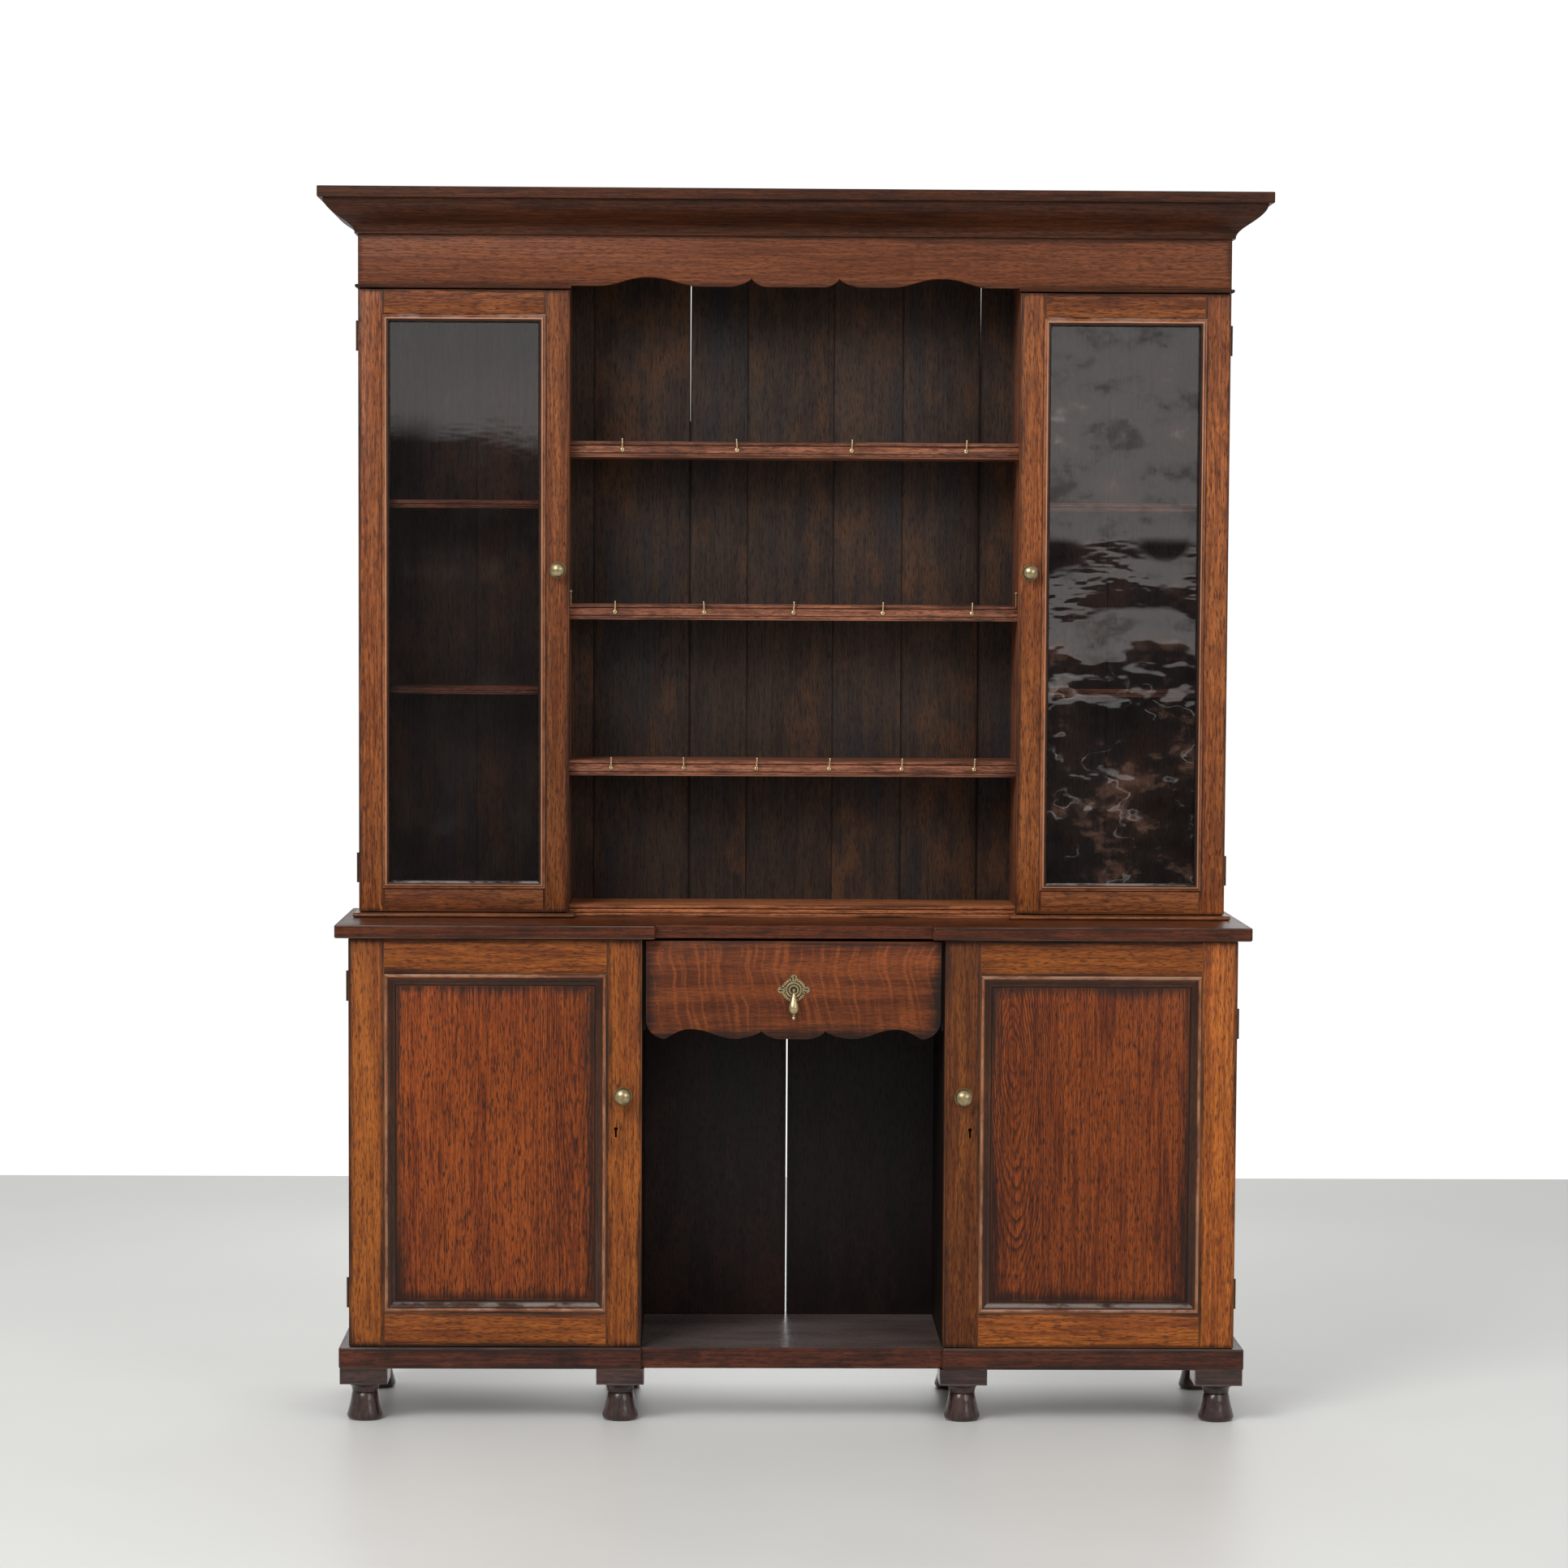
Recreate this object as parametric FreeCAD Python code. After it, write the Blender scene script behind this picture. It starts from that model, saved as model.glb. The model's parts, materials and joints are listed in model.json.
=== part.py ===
import FreeCAD, Part
import os

# A two-part oak dresser. Below: a case on turned feet with two panelled doors, a drawer
# with a scalloped front and an open kennel. Above: two glazed cupboards with plate
# shelves between them under a moulded cornice.
# X runs across the cabinet, Y from the front to the wall, Z up from the floor.

os.makedirs("parts", exist_ok=True)

Vec = FreeCAD.Vector

# Overall layout
case_depth = 384.0
knob_reach = 28.0
lower_width = 1519.0
upper_inset = 5.5
kennel_width = 516.0
rack_width = 782.0
upper_setback = 170.0
foot_height = 66.0
block_height = 27.5
base_thick = 36.0
lower_height = 704.0
worktop_thick = 23.0
upper_height = 1179.5
frieze_height = 86.5
cornice_height = 76.0

# Boards
side_thick = 20.0
kennel_side_thick = 22.0
rack_side_thick = 18.0
back_board_thick = 12.0
back_inset = 16.0
board_gap = 0.4
board_lap = 6.0
kennel_slit = 2.6
rack_slit = 1.6
cupboard_shelf_thick = 18.0
cupboard_shelf_setback = 30.0
glazed_shelf_thick = 14.0
glazed_shelf_setback = 10.0
housing_depth = 5.0
top_board_thick = 12.0
lower_joint_shares = (-0.696, -0.392, -0.006, 0.392, 0.696)
lower_slit_shares = (-0.006,)
upper_joint_shares = (-0.763, -0.48, -0.247, -0.11, 0.098, 0.264, 0.452, 0.763)
slit_joint_shares = (-0.247, 0.452)
slit_foot_shares = (0.7, 0.795)
cupboard_shelf_share = 0.4837
glazed_shelf_shares = (0.3286, 0.6024)

# Clearances
stand_off = 0.6
slide_gap = 0.5
runner_gap = 0.3
hinge_gap = 0.3
pin_gap = 0.05
bolt_gap = 0.5
cut_over = 10.0

# Shares of round shapes: where a quarter circle passes at 45 degrees
corner_share = 0.7071

# Feet and the blocks above them
block_side = 82.0
block_inset = 1.5
block_setback = 3.5
block_reveal = 4.0
block_arris = 2.5
foot_bell_radius = 31.0
foot_sole_radius = 26.0
foot_toe_height = 9.0
foot_neck_radius = 22.5
foot_neck_height = 46.5
foot_groove = 1.3
foot_groove_height = 3.0
foot_collar_radius = 29.5
foot_collar_height = 4.5
toe_bulge_shares = (0.72, 0.32)
bell_bow_share = 0.09
cove_bulge_shares = (0.22, 0.62)

# Base board and worktop, both with a front that steps back in the middle
base_overhang = 17.5
base_lip = 8.0
base_step = 11.0
base_recess_width = 515.0
worktop_overhang = 23.0
worktop_lip = 15.0
worktop_step = 28.0
worktop_recess_width = 472.0
board_corner_radius = 6.0
board_arris = 3.0

# Doors
door_thick = 20.0
lower_door_gap = 1.5
kennel_reveal = 1.0
rack_lap = 1.7
upper_door_gap = 2.0
lower_stile = 61.0
lower_rail = 60.0
upper_stile = 45.0
upper_top_rail = 47.0
upper_bottom_rail = 44.0
tenon_thick = 8.0
tenon_length = 30.0
tenon_shoulder = 8.0
panel_recess = 8.0
panel_thick = 8.0
panel_tongue = 8.0
panel_moulding_width = 20.0
panel_moulding_proud = 2.2
panel_bead_share = 0.3
panel_toe_share = 0.9
glazing_width = 14.0
glazing_lap = 5.0
glazing_proud = 4.0
glazing_step_share = 0.3
glass_recess = 9.0
glass_thick = 3.0
glass_play = 0.5
fillet_width = 8.0

# Hinges
hinge_length = 52.0
barrel_radius = 2.5
hinge_pin_radius = 1.1
leaf_thick = 1.2
leaf_width = 16.0
lower_left_hinge_shares = (0.129, 0.883)
lower_right_hinge_shares = (0.13, 0.797)
upper_hinge_shares = (0.07, 0.9265)

# Knobs
lower_knob_radius = 14.5
lower_knob_inset = 32.5
upper_knob_radius = 13.0
upper_knob_inset = 20.2
upper_knob_reach = 25.0
lower_knob_share = 0.6177
upper_knob_share = 0.552
knob_ring_thick = 2.0
knob_ring_lap = 1.2
knob_stem_share = 0.34
knob_crown_share = 1.22
knob_edge_share = 0.25

# Locks
keyhole_inset = 44.0
keyhole_radius = 3.2
keyhole_slot = 3.2
keyhole_height = 17.5
keyhole_share = 0.529
lock_width = 38.0
lock_height = 50.0
lock_thick = 14.0
lock_edge_gap = 1.5
bolt_height = 14.0
bolt_thick = 6.0
bolt_length = 26.0
bolt_wall = 4.0
bolt_throw = 8.0

# Drawer
drawer_front_thick = 20.0
drawer_front_setback = 13.0
drawer_front_height = 167.5
drawer_top_gap = 4.5
drawer_side_thick = 12.0
drawer_side_rise = 38.0
drawer_side_top_gap = 8.0
drawer_back_gap = 23.0
drawer_back_thick = 12.0
drawer_bottom_thick = 6.0
drawer_bottom_rise = 8.0
drawer_groove = 5.0
guide_thick = 5.1
guide_height = 158.5
runner_width = 18.0
runner_height = 15.0
drawer_shoulder_radius = 33.0
drawer_crest = 16.5
dovetail_count = 3
dovetail_length = 14.0
dovetail_width_share = 0.72
dovetail_slope_share = 0.16
drawer_wave_shares = ((0.701, 1.0, "crest"), (0.392, 0.03, "crest"),
                      (0.216, 0.91, "cusp"), (0.099, 0.0, "crest"))

# Drop handle on the drawer
handle_drop_below_top = 83.0
plate_half_width = 27.5
plate_half_height = 26.5
plate_thick = 1.5
lobe_radius = 5.6
plate_bulge = 5.0
boss_radius = 14.5
boss_hollow_radius = 9.0
boss_height = 3.5
boss_wall_share = 0.55
boss_turn_share = 0.15
boss_rise_share = 0.87
handle_clearance = 0.4
ear_radius = 2.9
ear_thick = 1.8
handle_pin_radius = 1.25
handle_play = 0.3
eye_width = 4.0
eye_radius = 3.3
handle_post_radius = 5.0
handle_shank_radius = 3.0
handle_nut_radius = 7.0
handle_nut_thick = 4.0
drop_length = 51.5
drop_stem_radius = 1.8
drop_neck_radius = 2.6
drop_flank_radius = 4.2
drop_belly_radius = 10.0
drop_waist_radius = 2.4
drop_ball_radius = 3.9
drop_neck_share = 0.11
drop_flank_shares = (0.27, 0.44)
drop_belly_share = 0.6
drop_waist_share = 0.82

# Plate rack
plate_shelf_thick = 27.5
plate_shelf_setback = 11.5
plate_shelf_shares = (0.2093, 0.4397, 0.6783)
shelf_bead = 7.0
shelf_quirk = 2.0
bottom_board_thick = 21.0
cup_hook_counts = (6, 5, 4)
cup_hook_spread_shares = (0.811, 0.795, 0.764)
cup_hook_drop = 15.0
cup_wire_radius = 1.1
cup_flange_radius = 3.5
cup_flange_thick = 1.0
cup_reach = 7.5
cup_bend_radius = 3.0
cup_arm = 20.5

# Frieze, beads and cornice
base_bead_height = 8.0
base_bead_reach = 13.0
base_bead_lap = 12.0
base_bead_side = 10.0
frieze_bead_height = 6.0
frieze_bead_reach = 8.0
frieze_bead_lap = 4.0
frieze_bead_side = 5.0
frieze_crest = 15.5
frieze_flat_share = 0.875
frieze_wave_shares = ((0.65, 1.0, "crest"), (0.41, 0.0, "crest"), (0.294, 0.0, "crest"),
                      (0.194, 1.0, "cusp"), (0.128, 0.0, "crest"))
cornice_reach = 65.0
cornice_top = 19.0
cornice_base = 20.0
cornice_arris = 2.0
cornice_step = 9.0
cornice_foot = 5.5
cornice_foot_rise = 1.5
cornice_turn_share = 0.36
cornice_turn_rise_share = 0.386
cornice_slope_share = 0.64
cornice_foot_pull_share = 0.4
cornice_turn_pull_share = 0.4
cornice_top_pull_share = 0.43
wave_pull_share = 0.45
cusp_pull_share = 0.35

# Wire hooks that hold the glazed doors
hook_share = 0.4812
hook_setback = 5.0
hook_length = 24.0
hook_tip = 5.0
hook_wire_radius = 1.1
hook_bend_radius = 2.0
hook_loop_lip = 0.1
hook_loop_radius = 3.0
hook_stand = 2.5
hook_play = 0.3
hook_screw_radius = 1.2
hook_shoulder_radius = 2.2
hook_head_radius = 2.3
hook_head_thick = 0.9
door_eye_radius = 2.0
door_eye_wire = 0.8
door_eye_setback = 8.0

# Places worked out from the sizes above
face_y = (knob_reach - case_depth) / 2
back_y = face_y + case_depth
door_back_y = face_y + door_thick
lower_front_y = door_back_y + stand_off
upper_face_y = face_y + upper_setback
upper_front_y = upper_face_y + door_thick + stand_off
boards_back_y = back_y - back_inset
boards_front_y = boards_back_y - back_board_thick
base_z = foot_height + block_height
lower_z = base_z + base_thick
worktop_z = lower_z + lower_height
upper_z = worktop_z + worktop_thick
cornice_z = upper_z + upper_height
frieze_z = cornice_z - frieze_height
lower_half = lower_width / 2
upper_half = lower_half - upper_inset
kennel_half = kennel_width / 2
rack_half = rack_width / 2
base_half = lower_half + base_overhang
worktop_half = lower_half + worktop_overhang
lower_door = (
    kennel_half + kennel_reveal,
    lower_half,
    lower_z + lower_door_gap,
    worktop_z - lower_door_gap,
)
upper_door = (
    rack_half - rack_lap,
    upper_half,
    upper_z + base_bead_height + upper_door_gap,
    frieze_z - frieze_bead_height - upper_door_gap,
)


class Outline:
    """A closed outline, drawn edge by edge in the plane that place() gives."""

    def __init__(self, place, u, v):
        self.place = place
        self.first = (u, v)
        self.last = (u, v)
        self.edges = []

    def line(self, u, v):
        self.edges.append(Part.LineSegment(self.place(*self.last), self.place(u, v)).toShape())
        self.last = (u, v)
        return self

    def arc(self, mid_u, mid_v, u, v):
        start = self.place(*self.last)
        self.edges.append(Part.Arc(start, self.place(mid_u, mid_v), self.place(u, v)).toShape())
        self.last = (u, v)
        return self

    def curve(self, *poles):
        bezier = Part.BezierCurve()
        bezier.setPoles([self.place(*self.last)] + [self.place(*pole) for pole in poles])
        self.edges.append(bezier.toShape())
        self.last = poles[-1]
        return self

    def face(self):
        if self.last != self.first:
            self.line(*self.first)
        return Part.Face(Part.Wire(self.edges))


def in_xz(y):
    return lambda u, v: Vec(u, y, v)


def in_yz(x):
    return lambda u, v: Vec(x, u, v)


def in_xy(z):
    return lambda u, v: Vec(u, v, z)


def box(x0, x1, y0, y1, z0, z1):
    return Part.makeBox(x1 - x0, y1 - y0, z1 - z0, Vec(x0, y0, z0))


def rod(radius, start, end):
    along = end - start
    return Part.makeCylinder(radius, along.Length, start, along)


def mirrored(shape):
    return shape.mirror(Vec(0, 0, 0), Vec(1, 0, 0))


def both_sides(shape):
    return [mirrored(shape), shape]


def moved(shape, x, y, z):
    copy = shape.copy()
    copy.translate(Vec(x, y, z))
    return copy


def joined(shapes):
    return shapes[0].multiFuse(shapes[1:]).removeSplitter()


def lathe(outline):
    """Turn an outline in the XZ plane about the Z axis."""
    return outline.face().revolve(Vec(0, 0, 0), Vec(0, 0, 1), 360)


def bent_wire(path, radius, across):
    """A round wire along an open path, which starts square to the given direction."""
    section = Part.Wire(Part.makeCircle(radius, path.place(*path.first), across))
    return Part.Wire(path.edges).makePipeShell([section], True, False)


def rounded(shape, radius, wanted):
    edges = [edge for edge in shape.Edges if wanted(edge)]
    return shape.makeFillet(radius, edges)


def save(name, shapes):
    solids = [solid for shape in shapes for solid in shape.Solids]
    Part.Compound(solids).exportStep("parts/" + name + ".step")


def level(edge):
    return abs(edge.BoundBox.ZLength) < board_arris / 2


def wave_stops(half, base, height, shares):
    """Places where a scalloped edge turns, from its left end to its right end."""
    right = [(share * half, base + rise * height, kind) for share, rise, kind in shares]
    left = [(-x, z, kind) for x, z, kind in right]
    return left + right[::-1]


def wave(outline, stops):
    """Join the stops with curves: level at a crest, steep at a cusp, aslant at a point."""
    pulls = {
        "crest": (wave_pull_share, 0),
        "cusp": (0, cusp_pull_share),
        "point": (cusp_pull_share, wave_pull_share),
    }
    for (x0, z0, kind0), (x1, z1, kind1) in zip(stops, stops[1:]):
        dx = x1 - x0
        dz = z1 - z0
        leave_u, leave_v = pulls[kind0]
        reach_u, reach_v = pulls[kind1]
        outline.curve((x0 + leave_u * dx, z0 + leave_v * dz), (x1 - reach_u * dx, z1 - reach_v * dz),
                      (x1, z1))


# Feet, and the blocks that carry the base board

foot_x = (base_half - block_inset - block_side / 2, kennel_half - block_reveal + block_side / 2)
foot_y = (face_y - base_lip + block_setback + block_side / 2, back_y - block_side / 2)
foot_places = [(side * x, y) for side in (-1, 1) for x in foot_x for y in foot_y]


def turned_foot():
    toe = (
        foot_sole_radius + toe_bulge_shares[0] * (foot_bell_radius - foot_sole_radius),
        toe_bulge_shares[1] * foot_toe_height,
    )
    bell_mid_z = (foot_toe_height + foot_neck_height) / 2
    bell_taper = foot_bell_radius - foot_neck_radius
    bell_mid_r = foot_neck_radius + bell_taper / 2 - bell_bow_share * bell_taper
    groove_top = foot_neck_height + foot_groove_height
    collar_z = foot_height - foot_collar_height
    cove_r = foot_neck_radius + cove_bulge_shares[0] * (foot_collar_radius - foot_neck_radius)
    cove_z = groove_top + cove_bulge_shares[1] * (collar_z - groove_top)
    outline = Outline(in_xz(0), 0, 0)
    outline.line(foot_sole_radius, 0)
    outline.arc(toe[0], toe[1], foot_bell_radius, foot_toe_height)
    outline.arc(bell_mid_r, bell_mid_z, foot_neck_radius, foot_neck_height)
    outline.line(foot_neck_radius - foot_groove, foot_neck_height + foot_groove_height / 2)
    outline.line(foot_neck_radius, groove_top)
    outline.arc(cove_r, cove_z, foot_collar_radius, collar_z)
    outline.line(foot_collar_radius, foot_height)
    outline.line(0, foot_height)
    return lathe(outline)


def foot_block():
    half = block_side / 2
    block = box(-half, half, -half, half, foot_height, base_z)
    return rounded(block, block_arris, lambda edge: edge.BoundBox.ZLength > block_height / 2)


foot = turned_foot()
block = foot_block()
save("turned_feet", [moved(foot, x, y, 0) for x, y in foot_places])
save("foot_blocks", [moved(block, x, y, 0) for x, y in foot_places])


# Base board and worktop

def stepped_board(half, recess_half, front_y, step, z, thick):
    """A board whose front steps back in the middle, with rounded corners and edges."""
    r = board_corner_radius
    recess_y = front_y + step
    near = r * (1 - corner_share)
    outline = Outline(in_xy(z), half, back_y)
    outline.line(half, front_y + r)
    outline.arc(half - near, front_y + near, half - r, front_y)
    outline.line(recess_half + r, front_y)
    outline.arc(recess_half + near, front_y + near, recess_half, front_y + r)
    outline.line(recess_half, recess_y)
    outline.line(-recess_half, recess_y)
    outline.line(-recess_half, front_y + r)
    outline.arc(-recess_half - near, front_y + near, -recess_half - r, front_y)
    outline.line(-half + r, front_y)
    outline.arc(-half + near, front_y + near, -half, front_y + r)
    outline.line(-half, back_y)
    board = outline.face().extrude(Vec(0, 0, thick))

    def worn(edge):
        return level(edge) and edge.BoundBox.YMin < back_y - board_corner_radius

    return rounded(board, board_arris, worn)


base_board = stepped_board(base_half, base_recess_width / 2, face_y - base_lip, base_step,
                           base_z, base_thick)
worktop = stepped_board(worktop_half, worktop_recess_width / 2, face_y - worktop_lip, worktop_step,
                        worktop_z, worktop_thick)
save("base_board", [base_board])
save("worktop", [worktop])


# Hinges: leaves let into the door and the case, knuckles outside the corner, a loose pin

knuckle_length = (hinge_length - 2 * hinge_gap) / 3
barrel_offset = hinge_gap + barrel_radius


def hinge(outer_x, case_y, z):
    """The case leaf, door leaf and pin of one hinge at the right-hand edge of a door."""
    low = z - hinge_length / 2
    high = z + hinge_length / 2
    axis_x = outer_x + barrel_offset
    axis_y = case_y - stand_off / 2
    door_y = case_y - stand_off
    axis = [Vec(axis_x, axis_y, level_z) for level_z in (low, high)]
    starts = [low + count * (knuckle_length + hinge_gap) for count in range(3)]
    knuckles = []
    for start in starts:
        knuckles.append((start, start + knuckle_length))

    def leaf(front, chosen, bore):
        flat = box(outer_x - leaf_width, outer_x, front, front + leaf_thick, low, high)
        shapes = [flat]
        for bottom, top in chosen:
            shapes.append(box(outer_x, axis_x, front, front + leaf_thick, bottom, top))
            shapes.append(rod(barrel_radius, Vec(axis_x, axis_y, bottom), Vec(axis_x, axis_y, top)))
        hole = rod(bore, axis[0] - Vec(0, 0, cut_over), axis[1] + Vec(0, 0, cut_over))
        return joined(shapes).cut(hole)

    case_leaf = leaf(case_y, (knuckles[0], knuckles[2]), hinge_pin_radius)
    door_leaf = leaf(door_y - leaf_thick, (knuckles[1],), hinge_pin_radius + pin_gap)
    pin = rod(hinge_pin_radius, axis[0], axis[1])
    return case_leaf, door_leaf, pin


def door_heights(door, shares):
    return [door[2] + share * (door[3] - door[2]) for share in shares]


def hinges_on(door, case_y, shares):
    return [hinge(door[1], case_y, z) for z in door_heights(door, shares)]


lower_right_hinges = hinges_on(lower_door, lower_front_y, lower_right_hinge_shares)
lower_left_hinges = hinges_on(lower_door, lower_front_y, lower_left_hinge_shares)
upper_hinges = hinges_on(upper_door, upper_front_y, upper_hinge_shares)


def hinge_pieces(kind):
    """One kind of piece from all eight hinges: 0 case leaves, 1 door leaves, 2 pins."""
    right = [item[kind] for item in lower_right_hinges + upper_hinges]
    left = [mirrored(item[kind]) for item in lower_left_hinges + upper_hinges]
    return left + right


save("case_hinge_leaves", hinge_pieces(0))
save("hinge_pins", hinge_pieces(2))


def without(shape, others):
    return shape.cut(Part.Compound(others))


# Lower case

def housings(x0, x1, y0, z0, thick):
    """The room that a shelf's ends take up in the boards beside it."""
    return box(x0 - housing_depth, x1 + housing_depth, y0, boards_front_y, z0, z0 + thick)


kennel_outer = kennel_half + kennel_side_thick
lower_inner = lower_half - side_thick
cupboard_shelf_z = lower_z + cupboard_shelf_share * lower_height
cupboard_shelf = housings(kennel_outer, lower_inner, lower_front_y + cupboard_shelf_setback,
                          cupboard_shelf_z, cupboard_shelf_thick)
save("cupboard_shelves", both_sides(cupboard_shelf))

lower_side = box(lower_inner, lower_half, lower_front_y, back_y, lower_z, worktop_z)
save("lower_sides", [
    mirrored(without(lower_side, [cupboard_shelf] + [item[0] for item in lower_left_hinges])),
    without(lower_side, [cupboard_shelf] + [item[0] for item in lower_right_hinges]),
])


# Lock behind each keyhole, and its bolt, which slides into the kennel side

keyhole_x = lower_door[0] + keyhole_inset
keyhole_z = lower_door[2] + keyhole_share * (lower_door[3] - lower_door[2])
lock_x = kennel_outer + lock_edge_gap
bolt_y = door_back_y + bolt_wall
bolt_low = keyhole_z - bolt_height / 2


def keyhole(depth):
    """A keyhole from the face of the door, as deep as asked."""
    top_z = keyhole_z + keyhole_height / 2 - keyhole_radius
    foot_z = keyhole_z - keyhole_height / 2
    start = Vec(keyhole_x, face_y - cut_over, top_z)
    barrel = rod(keyhole_radius, start, start + Vec(0, cut_over + depth, 0))
    half = keyhole_slot / 2
    slot = box(keyhole_x - half, keyhole_x + half, face_y - cut_over, face_y + depth, foot_z, top_z)
    return barrel.fuse(slot)


bolt = box(lock_x, lock_x + bolt_length, bolt_y, bolt_y + bolt_thick, bolt_low, bolt_low + bolt_height)
lock_room = box(lock_x - cut_over, lock_x + bolt_length + bolt_gap, bolt_y - bolt_gap,
                bolt_y + bolt_thick + bolt_gap, bolt_low - bolt_gap, bolt_low + bolt_height + bolt_gap)
lock_case = box(lock_x, lock_x + lock_width, door_back_y, door_back_y + lock_thick,
                keyhole_z - lock_height / 2, keyhole_z + lock_height / 2)
lock_case = lock_case.cut(lock_room).cut(keyhole(door_thick + bolt_wall))
strike_depth = bolt_throw - lock_edge_gap + bolt_gap
strike = box(kennel_outer - strike_depth, kennel_outer + cut_over, bolt_y - bolt_gap,
             bolt_y + bolt_thick + bolt_gap, bolt_low - bolt_gap, bolt_low + bolt_height + bolt_gap)

kennel_side = box(kennel_half, kennel_outer, lower_front_y, boards_front_y, lower_z, worktop_z)
save("kennel_sides", both_sides(without(kennel_side, [cupboard_shelf, strike])))


# Upright back boards

def back_boards(half, joint_shares, open_shares, open_gap, z0, z1):
    """Upright boards, each lapped over the next. An open joint is straight, and light shows through."""
    middle_y = (boards_front_y + boards_back_y) / 2
    edges = [(-half, -half, 0, 0)]
    for share in joint_shares:
        gap = open_gap if share in open_shares else board_gap
        lap = 0 if share in open_shares else board_lap
        edges.append((share * half, share * half + lap, gap / 2, gap / 2))
    edges.append((half, half, 0, 0))
    boards = []
    for (left, rear_left, left_gap, _), (right, rear_right, _, right_gap) in zip(edges, edges[1:]):
        front = box(left + left_gap, right - right_gap, boards_front_y, middle_y, z0, z1)
        rear = box(rear_left + left_gap, rear_right - right_gap, middle_y, boards_back_y, z0, z1)
        boards.append(joined([front, rear]))
    return boards


save("lower_back_boards", back_boards(lower_inner, lower_joint_shares, lower_slit_shares, kennel_slit,
                                      lower_z, worktop_z))


# Drawer, its guides beside it and its runners below

drawer_y = face_y + drawer_front_setback
drawer_back_y = drawer_y + drawer_front_thick
drawer_top = worktop_z - drawer_top_gap
drawer_low = drawer_top - drawer_front_height
drawer_half = kennel_half - guide_thick - slide_gap
guide_z = worktop_z - guide_height
drawer_side_z = drawer_low + drawer_side_rise
drawer_side_top = worktop_z - drawer_side_top_gap
drawer_end_y = boards_front_y - drawer_back_gap

guide = box(kennel_half - guide_thick, kennel_half, lower_front_y, boards_front_y, guide_z, worktop_z)
save("drawer_guides", both_sides(guide))
runner_x = kennel_half - guide_thick
runner_top = drawer_side_z - runner_gap
runner = box(runner_x - runner_width, runner_x, drawer_back_y + slide_gap, boards_front_y,
             runner_top - runner_height, runner_top)
save("drawer_runners", both_sides(runner))


def drawer_front():
    """A board with a level top and a scalloped lower edge between two rounded shoulders."""
    shoulder_z = drawer_low + drawer_shoulder_radius
    shoulder_x = drawer_half - drawer_shoulder_radius
    near = drawer_shoulder_radius * corner_share
    stops = wave_stops(drawer_half, drawer_low, drawer_crest, drawer_wave_shares)
    outline = Outline(in_xz(drawer_y), -drawer_half, drawer_top)
    outline.line(-drawer_half, shoulder_z)
    outline.arc(-shoulder_x - near, shoulder_z - near, -shoulder_x, drawer_low)
    wave(outline, [(-shoulder_x, drawer_low, "point")] + stops + [(shoulder_x, drawer_low, "point")])
    outline.arc(shoulder_x + near, shoulder_z - near, drawer_half, shoulder_z)
    outline.line(drawer_half, drawer_top)
    return outline.face().extrude(Vec(0, drawer_front_thick, 0))


def dovetails(x0, x1):
    """Tails at the front end of a drawer side, wider at the tip than at the root."""
    pitch = (drawer_side_top - drawer_side_z) / dovetail_count
    tip = dovetail_width_share * pitch / 2
    root = tip - dovetail_slope_share * dovetail_length
    tip_y = drawer_back_y - dovetail_length
    tails = []
    for number in range(dovetail_count):
        z = drawer_side_z + number * pitch + pitch / 2
        outline = Outline(in_yz(x0), drawer_back_y, z - root)
        outline.line(tip_y, z - tip)
        outline.line(tip_y, z + tip)
        outline.line(drawer_back_y, z + root)
        tails.append(outline.face().extrude(Vec(x1 - x0, 0, 0)))
    return tails


drawer_inner = drawer_half - drawer_side_thick
drawer_bottom_z = drawer_side_z + drawer_bottom_rise
drawer_bottom = box(-drawer_inner - drawer_groove, drawer_inner + drawer_groove,
                    drawer_back_y - drawer_groove, drawer_end_y,
                    drawer_bottom_z, drawer_bottom_z + drawer_bottom_thick)
tails = dovetails(drawer_inner, drawer_half)
drawer_side = box(drawer_inner, drawer_half, drawer_back_y, drawer_end_y, drawer_side_z, drawer_side_top)
drawer_side = joined([drawer_side] + tails)
drawer_back = box(-drawer_inner, drawer_inner, drawer_end_y - drawer_back_thick, drawer_end_y,
                  drawer_bottom_z + drawer_bottom_thick, drawer_side_top)
save("drawer_bottom", [drawer_bottom])
save("drawer_box", both_sides(drawer_side.cut(drawer_bottom)) + [drawer_back])


# Drop handle: a plate with a hollow boss and two ears, a hanging drop, a nut behind

handle_z = worktop_z - drawer_top_gap - handle_drop_below_top
handle_y = drawer_y - plate_thick - drop_belly_radius - handle_clearance


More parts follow.
